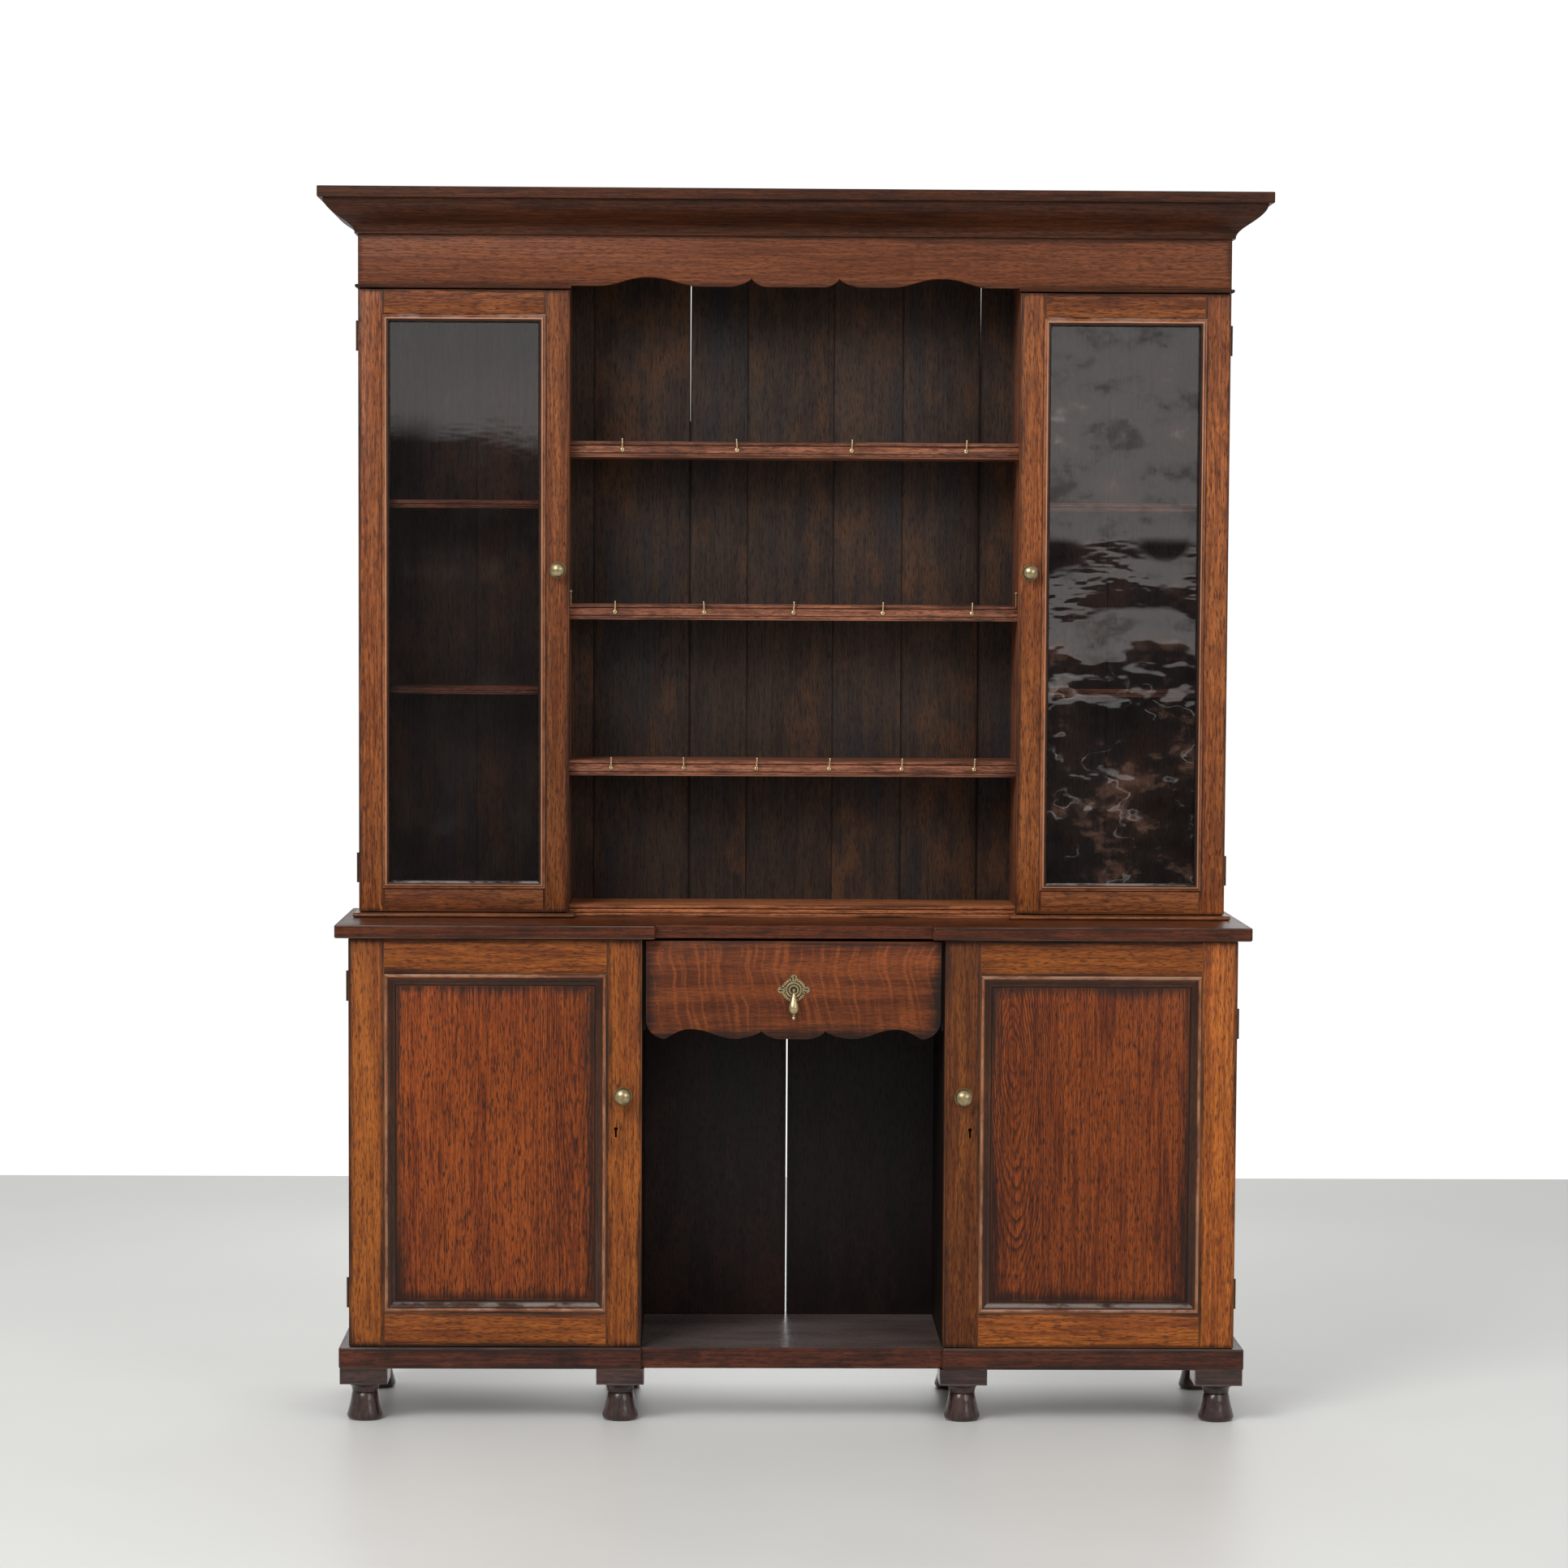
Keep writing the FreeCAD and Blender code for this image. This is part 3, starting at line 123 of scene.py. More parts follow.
class DresserFinish(bpy.types.PropertyGroup):
    oak_pale: colour("Pale oak", "Worn, light parts of the door frames", (0.45, 0.135, 0.020))
    oak_body: colour("Oak", "Main colour of the door frames", (0.262, 0.064, 0.010))
    oak_deep: colour("Deep oak", "Dark rings of the door frames", (0.085, 0.018, 0.004))
    panel_pale: colour("Pale panel", "Light streaks of the door panels", (0.30, 0.066, 0.009))
    panel_body: colour("Panel", "Main colour of the door panels", (0.150, 0.0265, 0.0036))
    panel_deep: colour("Deep panel", "Dark rings of the door panels", (0.034, 0.0065, 0.002))
    # Colour of old polish and soiling along the boards' rims, also laid on as painted shade in
    # corners and between parts
    grime_and_shade: colour("Grime", "Old polish and dirt in corners", (0.012, 0.005, 0.003))
    board_dark: colour("Back boards", "Unpolished boards at the back", (0.031, 0.0172, 0.0126))
    brass: colour("Brass", "Polished parts of the brass fittings", (0.54, 0.43, 0.24))
    tarnish: colour("Tarnish", "Brown patina of the brass fittings", (0.15, 0.105, 0.055))
    iron: colour("Iron", "Browned iron of hinges and locks", (0.075, 0.040, 0.024))


class DresserStudio(bpy.types.PropertyGroup):
    lens: amount("Lens", "Focal length in millimetres", 101.3)
    sensor: amount("Sensor", "Sensor width in millimetres", 36.0)
    shift: amount("Shift", "Upward shift of the picture", 0.0832)
    place: FloatVectorProperty(
        name="Camera place", description="Where the camera stands",
        default=(-0.1552, -7.678, 1.4316), size=3, subtype="TRANSLATION",
    )
    yaw: angle("Yaw", "Turn to the right", 1.052)
    pitch: angle("Pitch", "Tilt downwards", 4.234)
    roll: angle("Roll", "Turn about the line of sight", 0.3)
    sky: amount("Sky", "Brightness of the light from all round", 0.55)
    dusk: amount("Dusk", "Brightness of the room in front, low down", 0.045)
    wall: length("Wall", "How far behind the cabinet's middle the floor ends", 2.99)
    floor: colour("Floor", "Pale polished floor", (0.73, 0.73, 0.705))


def sizes():
    return bpy.context.scene.dresser_sizes


def finish():
    return bpy.context.scene.dresser_finish


def studio():
    return bpy.context.scene.dresser_studio


# ---------------------------------------------------------------- shader building


class Wire:
    """One output of a node. Arithmetic on it adds Math nodes."""

    def __init__(self, shader, socket):
        self.shader = shader
        self.socket = socket

    def _sum(self, operation, *values):
        return self.shader.node("Math", {"operation": operation}, dict(enumerate(values)))

    def __add__(self, other):
        return self._sum("ADD", self, other)

    def __radd__(self, other):
        return self._sum("ADD", other, self)

    def __sub__(self, other):
        return self._sum("SUBTRACT", self, other)

    def __rsub__(self, other):
        return self._sum("SUBTRACT", other, self)

    def __mul__(self, other):
        return self._sum("MULTIPLY", self, other)

    def __rmul__(self, other):
        return self._sum("MULTIPLY", other, self)

    def __truediv__(self, other):
        return self._sum("DIVIDE", self, other)

    def __rtruediv__(self, other):
        return self._sum("DIVIDE", other, self)

    def __abs__(self):
        return self._sum("ABSOLUTE", self)

    def low(self, other):
        return self._sum("MINIMUM", self, other)

    def high(self, other):
        return self._sum("MAXIMUM", self, other)

    def fraction(self):
        return self._sum("FRACT", self)

    def wave(self):
        return self._sum("SINE", self)


class Shader:
    """The nodes of one material, or of the studio's sky."""

    def __init__(self, owner):
        self.owner = owner
        owner.use_nodes = True
        self.tree = owner.node_tree
        self.tree.nodes.clear()

    def node(self, kind, settings=None, values=None, out=0):
        made = self.tree.nodes.new("ShaderNode" + kind)
        for key, value in (settings or {}).items():
            if key == "stops":
                self._stops(made.color_ramp, value)
            else:
                setattr(made, key, value)
        for key, value in (values or {}).items():
            if isinstance(value, Wire):
                self.tree.links.new(value.socket, made.inputs[key])
            else:
                made.inputs[key].default_value = value
        return Wire(self, made.outputs[out] if made.outputs else None)

    def _stops(self, ramp, stops):
        while len(ramp.elements) < len(stops):
            ramp.elements.new(1.0)
        for element, (place, grey) in zip(ramp.elements, stops):
            element.position = place
            element.color = (grey, grey, grey, 1.0)

    def vector(self, operation, *values, out=0):
        return self.node("VectorMath", {"operation": operation}, dict(enumerate(values)), out)

    def scaled(self, vector, factor):
        return self.node("VectorMath", {"operation": "SCALE"}, {0: vector, "Scale": factor})

    def attribute(self, name, out="Vector"):
        return self.node("Attribute", {"attribute_name": name}, {}, out)

    def split(self, vector):
        first = self.node("SeparateXYZ", {}, {0: vector})
        return [Wire(self, socket) for socket in first.socket.node.outputs]

    def noise(self, vector, scale, detail=2.0, roughness=0.5, out=0):
        """Noise over a vector stretched by scale, which is a number or one for each direction."""
        scale = scale if isinstance(scale, tuple) else (scale, scale, scale)
        values = {
            "Vector": self.vector("MULTIPLY", vector, scale),
            "Scale": 1.0, "Detail": detail, "Roughness": roughness,
        }
        return self.node("TexNoise", {}, values, out)

    def smooth(self, value, start, end):
        return self.node(
            "MapRange", {"interpolation_type": "SMOOTHSTEP"},
            {"Value": value, "From Min": start, "From Max": end},
        )

    def mix(self, factor, a, b):
        """Colour b over colour a. A Mix node takes colours at 6 and 7 and gives one at output 2."""
        a, b = [opaque(tint) if isinstance(tint, tuple) else tint for tint in (a, b)]
        return self.node("Mix", {"data_type": "RGBA"}, {0: factor, 6: a, 7: b}, 2)

    def bump(self, height, strength, distance):
        values = {"Height": height, "Strength": strength, "Distance": distance}
        return self.node("Bump", {}, values)

    def surface(self, **values):
        named = {key.replace("_", " "): value for key, value in values.items()}
        return self.node("BsdfPrincipled", {}, named)

    def done(self, shader, kind="OutputMaterial"):
        self.node(kind, {}, {"Surface": shader})
        return self.owner


def opaque(tint):
    return (*tint, 1.0)


def material(name):
    return Shader(bpy.data.materials.new(name))


_made = {}


def once(build):
    """Each finish is built the first time a piece asks for it."""

    def get(*key):
        if (build.__name__, key) not in _made:
            _made[build.__name__, key] = build(*key)
        return _made[build.__name__, key]

    return get


def rgb(value):
    return tuple(value)


def darker(value, factor):
    return tuple(c * factor for c in value)


# ---------------------------------------------------------------- finishes


# Colours that every kind of oak shares: dark joint lines, soiling, dusting, and painted shade,
# shadow and sheen
JOINT_SHADOW = (0.003, 0.0018, 0.0012)
JOINT_DIRT = (0.002, 0.0015, 0.001)
GROOVE_SHADE = (0.004, 0.002, 0.0015)
HOLLOW_SHADE = (0.016, 0.0062, 0.003)
BEAD_DUST_AND_SHEEN = (0.34, 0.29, 0.26)
LEDGE_DUST_AND_SHEEN = (0.17, 0.16, 0.155)

MIDDLE = (0.5, 0.5, 0.5)
DRIFT = (0.0, 0.026, 0.026)
SHIVER = (0.0, 0.0026, 0.0026)
EARLY_WOOD = [(0.0, 1.0), (0.16, 0.75), (0.5, 0.05), (0.85, 0.1), (1.0, 1.0)]


def grain_of(s, ring):
    """The noises that follow a board's length and the rings about its pith, ring apart, by name."""
    g = SimpleNamespace(place=s.attribute("place"))
    spot = s.vector("ADD", g.place, s.attribute("seed"))
    g.drift = s.vector("SUBTRACT", s.noise(spot, (3.0, 7.0, 7.0), out=1), MIDDLE)
    shiver = s.vector("SUBTRACT", s.noise(spot, (45.0, 60.0, 60.0), 1.0, out=1), MIDDLE)
    bent = s.vector("MULTIPLY_ADD", g.drift, DRIFT, g.place)
    x, y, z = s.split(s.vector("MULTIPLY_ADD", shiver, SHIVER, bent))
    pith_y, pith_z, tilt = s.split(s.attribute("pith"))
    away = s.node("CombineXYZ", {}, {1: y - pith_y, 2: z - pith_z - tilt * x})
    near = s.smooth(abs(y - pith_y), 0.10, 0.04)
    g.pore = s.smooth(s.noise(spot, (90.0, 900.0, 900.0), 1.0), 0.52, 0.66)
    g.fleck = s.smooth(s.noise(spot, (60.0, 460.0, 460.0), 1.0), 0.52, 0.68)
    g.streak = s.noise(spot, (9.0, 240.0, 240.0), 2.0, 0.6)
    g.band = s.noise(spot, (2.2, 36.0, 36.0))
    g.blotch = s.noise(spot, (16.0, 30.0, 30.0), 3.0, 0.62)
    g.cloud = s.noise(spot, (3.0, 8.0, 8.0), 3.0, 0.6)
    turn = s.vector("LENGTH", away, out=1) / ring + g.streak * 0.25
    ramp = s.node("ValToRGB", {"stops": EARLY_WOOD}, {0: turn.fraction()})
    early = s.node("SeparateColor", {}, {0: ramp})
    g.ringed = early * (near * 0.75 + 0.25) * s.smooth(g.blotch + g.cloud, 0.75, 1.15)
    return g


def upward(s):
    """How far the surface faces up, from -1 to 1."""
    return s.split(s.node("NewGeometry", {}, {}, 1))[2]


def figured(s, g, pale, body, deep, rings, streaks, flecks, mottle, ribbon, patches):
    """Clean wood: mottle, streaks and rings, then ribbons, patches, flecks and pores."""
    base = s.mix(s.smooth(g.band, 0.38, 0.66), body, s.mix(0.55, body, pale))
    base = s.mix(s.smooth(g.blotch, 0.47, 0.68) * mottle, base, pale)
    base = s.mix(s.smooth(g.blotch, 0.50, 0.32) * mottle, base, deep)
    base = s.mix(s.smooth(g.streak, 0.47, 0.66) * streaks, base, pale)
    base = s.mix(s.smooth(g.streak, 0.51, 0.32) * streaks, base, deep)
    base = s.mix(g.ringed * rings, base, deep)
    if ribbon:
        wander = s.vector("MULTIPLY_ADD", g.drift, (0.10, 0.01, 0.01), g.place)
        comb = s.noise(wander, (110.0, 5.0, 5.0), 1.5)
        base = s.mix(s.smooth(comb, 0.51, 0.64) * ribbon, base, pale)
        base = s.mix(s.smooth(comb, 0.46, 0.34) * ribbon * 0.4, base, deep)
    if patches:
        warm, cold = patches
        base = s.mix(s.smooth(g.cloud + g.blotch * 0.6, 0.80, 1.02) * 0.7, base, warm)
        base = s.mix(s.smooth(g.cloud + g.band * 0.5, 0.70, 0.52) * 0.6, base, cold)
    base = s.mix(g.fleck * flecks, base, darker(deep, 0.7))
    return s.mix(g.pore * 0.45, base, darker(deep, 0.5))


def moulded(s, g, base, bead, rubbed_and_highlight):
    """A moulding's marks: a bead paled by wear and painted highlight, a painted highlight along its
    ridge, painted shade in the hollow, a dark joint line at the outline, painted shadow at the toe,
    and dusting with painted sheen on faces that look up.

    bead says where hollow and toe start, measured in from the frame's outline, and how strongly
    a painted highlight is laid along the ridge of the bead.
    """
    hollow_at, toe_at, crest_highlight = bead
    edge = s.attribute("edge", "Fac")
    hollow = s.smooth(edge, hollow_at - 0.0006, hollow_at + 0.0008)
    # The bead is paled in blotches: wear, and a painted highlight on the bead
    paled = (1.0 - hollow) * s.smooth(g.blotch, 0.42, 0.62) * 0.4 * (1.0 - crest_highlight)
    base = s.mix(paled, base, rubbed_and_highlight)
    # Painted shade: the hollow of the moulding is darkened
    base = s.mix(hollow * (1.0 - g.cloud * 0.25), base, HOLLOW_SHADE)
    # Painted highlight: a pale line along the ridge of the bead
    base = s.mix(s.smooth(abs(edge - (hollow_at - 0.0012)), 0.0012, 0.0004) * crest_highlight, base, rubbed_and_highlight)
    # A dark joint line along the outline where the moulding meets the frame, and painted shadow
    # along the toe where it meets the panel
    base = s.mix(s.smooth(edge, 0.0022, 0.0007) * 0.85, base, JOINT_SHADOW)
    base = s.mix(s.smooth(edge, toe_at - 0.0012, toe_at) * 0.85, base, JOINT_SHADOW)
    # Faces that look up turn grey-white: dust, and a painted sheen of the light from above
    dust_and_sheen = s.smooth(upward(s), 0.2, 0.7) * s.smooth(g.blotch, 0.38, 0.55) * 0.55
    return s.mix(dust_and_sheen, base, BEAD_DUST_AND_SHEEN), hollow


def oak(name, pale, body, deep, ring=0.0042, rings=0.55, streaks=0.6, flecks=0.6, mottle=0.3,
        ribbon=0.0, clouds=0.5, grime_and_shade=0.7, grime_and_shade_reach=0.016, joint=0.0, wear=0.25, rubbed_and_highlight=None,
        gloss=0.42, coat=0.0, patches=None, bead=None, groove=None, pale_film=0.0):
    """Solid oak in three tones, darker at the edges of each board from old polish and painted
    shade, and with wear on its corners.

    joint darkens the very rim, groove is how far a dark line of painted shade lies in from the
    board's two faces.
    """
    s = material(name)
    g = grain_of(s, ring)
    base = figured(s, g, pale, body, deep, rings, streaks, flecks, mottle, ribbon, patches)
    light = 1.0 - clouds + (g.cloud * 2.0 * clouds)
    base = s.scaled(base, light * s.attribute("tone", "Fac"))
    inset = s.vector("SUBTRACT", s.attribute("half"), s.vector("ABSOLUTE", g.place))
    gap_x, gap_y, gap_z = s.split(inset)
    rim = gap_x.low(gap_y).high(gap_x.high(gap_y).low(gap_z))
    # Darker towards each board's rim: old polish and soiling, and painted shade in corners and
    # where boards meet
    ragged = (g.cloud - 0.5) * grime_and_shade_reach * 1.6 + (g.streak - 0.5) * grime_and_shade_reach
    dirt_and_shade = s.smooth(rim + ragged, grime_and_shade_reach, 0.0)
    base = s.mix(dirt_and_shade * grime_and_shade, base, rgb(finish().grime_and_shade))
    if joint:
        base = s.mix(s.smooth(rim, 0.0028, 0.0006) * joint, base, JOINT_DIRT)
    if groove:
        # Painted shade: a dark line along the groove
        base = s.mix(s.smooth(abs(gap_z - groove), 0.0016, 0.0004) * 0.8, base, GROOVE_SHADE)
    paled = s.smooth(rim, 0.0026, 0.0006) * s.smooth(g.cloud + g.streak * 0.3, 0.5, 0.72)
    if bead:
        base, hollow = moulded(s, g, base, bead, rubbed_and_highlight)
        coat = (1.0 - hollow * 0.8) * coat
        paled = paled * (1.0 - hollow)
    base = s.mix(paled * wear, base, rubbed_and_highlight or pale)
    # Faces that look up get a grey film: dust, and on the kennel floor a painted sheen
    if pale_film:
        base = s.mix(s.smooth(upward(s), 0.8, 0.98) * (g.cloud * pale_film), base, LEDGE_DUST_AND_SHEEN)
    rough = gloss + g.fleck * 0.12 + (g.cloud - 0.5) * 0.2 + dirt_and_shade * 0.12
    relief = (1.0 - g.fleck) * 0.5 + (1.0 - g.pore) * 0.3 + g.streak * 0.25 - g.ringed * 0.2
    return s.done(s.surface(
        Base_Color=base, Roughness=rough, Normal=s.bump(relief, 0.4, 0.0005),
        Specular_IOR_Level=0.22, Coat_Weight=coat, Coat_Roughness=0.18,
    ))


@once
def frame_oak():
    f = finish()
    return oak("door_frame_oak", rgb(f.oak_pale), rgb(f.oak_body), rgb(f.oak_deep), rings=0.5,
               streaks=0.45, flecks=0.75, grime_and_shade=0.85, grime_and_shade_reach=0.010, joint=0.6, wear=0.3,
               gloss=0.40)


@once
def panel_oak():
    f = finish()
    return oak("panel_oak", rgb(f.panel_pale), rgb(f.panel_body), rgb(f.panel_deep), ring=0.0037,
               rings=1.0, streaks=0.55, flecks=0.85, mottle=0.25, clouds=0.35, grime_and_shade=0.85,
               grime_and_shade_reach=0.024, gloss=0.36)


@once
def upper_frame_oak():
    return oak("glazed_frame_oak", (0.38, 0.122, 0.030), (0.205, 0.054, 0.013),
               (0.075, 0.017, 0.005), rings=0.6, streaks=0.45, flecks=0.8, mottle=0.25, grime_and_shade=0.8,
               grime_and_shade_reach=0.008, joint=0.5, wear=0.3)


BEAD_TONES = ((0.36, 0.120, 0.038), (0.20, 0.056, 0.016), (0.06, 0.015, 0.005))


@once
def glazing_oak():
    return oak("glazing_oak", *BEAD_TONES, rings=0.3, streaks=0.4, grime_and_shade=0.3, grime_and_shade_reach=0.003,
               wear=0.2, rubbed_and_highlight=(0.50, 0.26, 0.16), gloss=0.26, coat=0.5,
               bead=(0.0086, 0.0128, 0.7))


@once
def cupboard_bead_oak():
    return oak("cupboard_bead_oak", *BEAD_TONES, rings=0.3, streaks=0.4, grime_and_shade=0.6,
               grime_and_shade_reach=0.003, joint=0.9, wear=0.2, gloss=0.26, coat=0.5)


@once
def moulding_oak():
    return oak("moulding_oak", (0.42, 0.150, 0.055), (0.22, 0.062, 0.019), (0.08, 0.020, 0.007),
               rings=0.2, streaks=0.5, mottle=0.5, grime_and_shade=0.5, grime_and_shade_reach=0.002, wear=0.5,
               rubbed_and_highlight=(0.44, 0.22, 0.12), gloss=0.22, coat=0.55, bead=(0.0062, 0.0186, 0.0))


@once
def frieze_oak():
    return oak("frieze_oak", (0.25, 0.075, 0.024), (0.157, 0.042, 0.0125), (0.065, 0.015, 0.005),
               rings=0.5, streaks=0.45, mottle=0.25, clouds=0.25, grime_and_shade=0.6, grime_and_shade_reach=0.012,
               gloss=0.48)


@once
def ribbon_oak():
    return oak("ribbon_oak", (0.27, 0.066, 0.014), (0.098, 0.0215, 0.005), (0.036, 0.008, 0.003),
               rings=0.3, streaks=0.2, flecks=0.35, mottle=0.1, ribbon=0.6, grime_and_shade=0.95,
               grime_and_shade_reach=0.026, gloss=0.38)


@once
def top_oak():
    return oak("worktop_oak", (0.16, 0.038, 0.010), (0.066, 0.0142, 0.0044),
               (0.018, 0.0045, 0.002), rings=0.5, streaks=0.5, mottle=0.6, grime_and_shade=0.6,
               grime_and_shade_reach=0.008, wear=0.6, rubbed_and_highlight=(0.22, 0.14, 0.10), gloss=0.30, coat=0.15)


@once
def base_oak():
    return oak("base_oak", (0.12, 0.028, 0.010), (0.046, 0.0105, 0.0046), (0.012, 0.0035, 0.002),
               rings=0.5, streaks=0.5, mottle=0.6, grime_and_shade_reach=0.008, wear=0.6,
               rubbed_and_highlight=(0.20, 0.13, 0.10), gloss=0.26, coat=0.15, pale_film=0.95)


@once
def cornice_oak():
    return oak("cornice_oak", (0.115, 0.031, 0.0085), (0.044, 0.0115, 0.0038),
               (0.012, 0.0035, 0.0017), rings=0.5, streaks=0.5, mottle=0.4, grime_and_shade=0.4,
               grime_and_shade_reach=0.006, wear=0.5, gloss=0.38)


@once
def side_oak():
    return oak("side_oak", (0.15, 0.045, 0.014), (0.080, 0.022, 0.008), (0.03, 0.008, 0.003),
               rings=0.6, streaks=0.5, grime_and_shade=0.6)


@once
def shelf_oak():
    return oak("shelf_oak", (0.36, 0.135, 0.072), (0.170, 0.059, 0.031), (0.045, 0.014, 0.008),
               rings=0.4, mottle=0.5, grime_and_shade=0.75, grime_and_shade_reach=0.006, joint=0.5, groove=0.007,
               wear=0.7, gloss=0.40)


@once
def sill_oak():
    return oak("sill_oak", (0.58, 0.205, 0.080), (0.37, 0.117, 0.041), (0.11, 0.030, 0.010),
               rings=0.4, grime_and_shade_reach=0.005, joint=0.8, groove=0.007, wear=0.6, gloss=0.40)


@once
def back_oak():
    return oak("back_board_oak", (0.062, 0.034, 0.020), rgb(finish().board_dark),
               (0.010, 0.0065, 0.0055), rings=0.5, streaks=0.35, flecks=0.5, mottle=0.35, grime_and_shade=0.8,
               grime_and_shade_reach=0.006, joint=0.9, wear=0.1, gloss=0.62,
               patches=((0.078, 0.032, 0.012), (0.020, 0.020, 0.022)))


@once
def kennel_oak():
    return oak("kennel_oak", (0.019, 0.0080, 0.0055), (0.0088, 0.0043, 0.0035),
               (0.004, 0.002, 0.002), rings=0.5, streaks=0.3, mottle=0.4, grime_and_shade=0.4, joint=0.6,
               wear=0.1, gloss=0.46, patches=((0.018, 0.008, 0.0055), (0.006, 0.0055, 0.006)))


@once
def turned_oak():
    return oak("turned_oak", (0.085, 0.034, 0.026), (0.030, 0.0125, 0.0105), (0.008, 0.004, 0.004),
               rings=0.5, streaks=0.5, mottle=0.6, grime_and_shade=0.3, wear=0.5, rubbed_and_highlight=(0.20, 0.14, 0.12),
               gloss=0.22, coat=0.6)


@once
def inside_oak():
    return oak("unpolished_oak", (0.30, 0.17, 0.085), (0.19, 0.105, 0.052), (0.085, 0.045, 0.022),
               rings=0.5, streaks=0.4, grime_and_shade=0.6, grime_and_shade_reach=0.012, wear=0.1, gloss=0.66)


OBJECT_PLACE = 3  # output of Texture Coordinate that gives Object coordinates

# How bright each kind of fitting is beside the handle; the hooks' brass is brightened as a painted
# highlight
KNOB_BRASS = ("knob", 0.76)
HOOK_BRASS = ("hook", 1.45)


@once
def old_brass(fitting="handle", lustre=1.0):
    s = material(fitting + "_brass")
    where = s.node("TexCoord", out=OBJECT_PLACE)
    wide = s.noise(where, 160.0, 3.0, 0.6)
    small = s.noise(where, 900.0)
    stain = s.smooth(wide + small * 0.35, 0.56, 0.92)
    base = s.mix(stain * 0.6, darker(finish().brass, lustre), darker(finish().tarnish, lustre))
    return s.done(s.surface(
        Base_Color=base, Metallic=1.0, Roughness=0.30 + stain * 0.16,
        Normal=s.bump(small, 0.02, 0.0001),
    ))


PIERCINGS = 26.0


@once
def pierced_brass(x, z, reach_x, reach_z):
    """The handle plate: bright ring, dark hollow in it, dark piercings round the border.

    x and z are the plate's middle, reach_x and reach_z are half its width and height.
    """
    s = material("pierced_brass")
    across, _, up = s.split(s.node("TexCoord", out=OBJECT_PLACE))
    across, up = (across - x) / reach_x, (up - z) / reach_z
    diamond = abs(across) + abs(up)
    out = s.vector("LENGTH", s.node("CombineXYZ", {}, {0: across, 1: up}), out=1)
    turn = s.node("Math", {"operation": "ARCTAN2"}, {0: up, 1: across})
    holes = s.smooth((turn * PIERCINGS).wave(), -0.3, 0.4)
    border = s.smooth(diamond, 0.66, 0.74) * s.smooth(diamond, 1.0, 0.94) * holes
    ring = s.smooth(out, 0.50, 0.44) * s.smooth(out, 0.20, 0.27)
    hollow = s.smooth(out, 0.26, 0.18)
    moat = s.smooth(out, 0.44, 0.50) * s.smooth(out, 0.60, 0.52) * 0.6
    dark = border.high(hollow).high(moat)
    brass = s.mix(0.15 - ring * 0.15, rgb(finish().brass), rgb(finish().tarnish))
    base = s.mix(dark * 0.92, brass, (0.02, 0.013, 0.008))
    return s.done(s.surface(Base_Color=base, Metallic=1.0, Roughness=0.30 + dark * 0.3))


@once
def browned_iron():
    s = material("browned_iron")
    where = s.node("TexCoord", out=OBJECT_PLACE)
    pits = s.noise(where, 700.0, 3.0, 0.6)
    rust = s.noise(where, 120.0, 3.0, 0.6)
    base = s.mix(s.smooth(rust, 0.45, 0.7), rgb(finish().iron), (0.10, 0.045, 0.022))
    return s.done(s.surface(
        Base_Color=base, Metallic=0.8, Roughness=0.42 + pits * 0.3,
        Normal=s.bump(pits, 0.3, 0.0002),
    ))


# How each pane was drawn. waves bends what it mirrors, lean tips it up and slant changes that
# across the pane. swirls is the strength of the warps and films low down, shine that of the mirror.
PANES = {
    "left": SimpleNamespace(
        waves=0.0002, lean=0.0017, slant=-0.009, shine=1.7, swirls=0.0, film=(0.35, 0.33, 0.32)
    ),
    "right": SimpleNamespace(
        waves=0.0011, lean=0.017, slant=0.0, shine=2.2, swirls=3.0, film=(0.42, 0.22, 0.15)
    ),
}
PANE_HEIGHT = 1.5   # height at which a pane stands upright
PANE_PLACE = 0.65   # how far a pane's middle is from the cabinet's
SWIRL_TOP, SWIRL_FULL = 1.42, 1.22  # heights between which the swirls set in


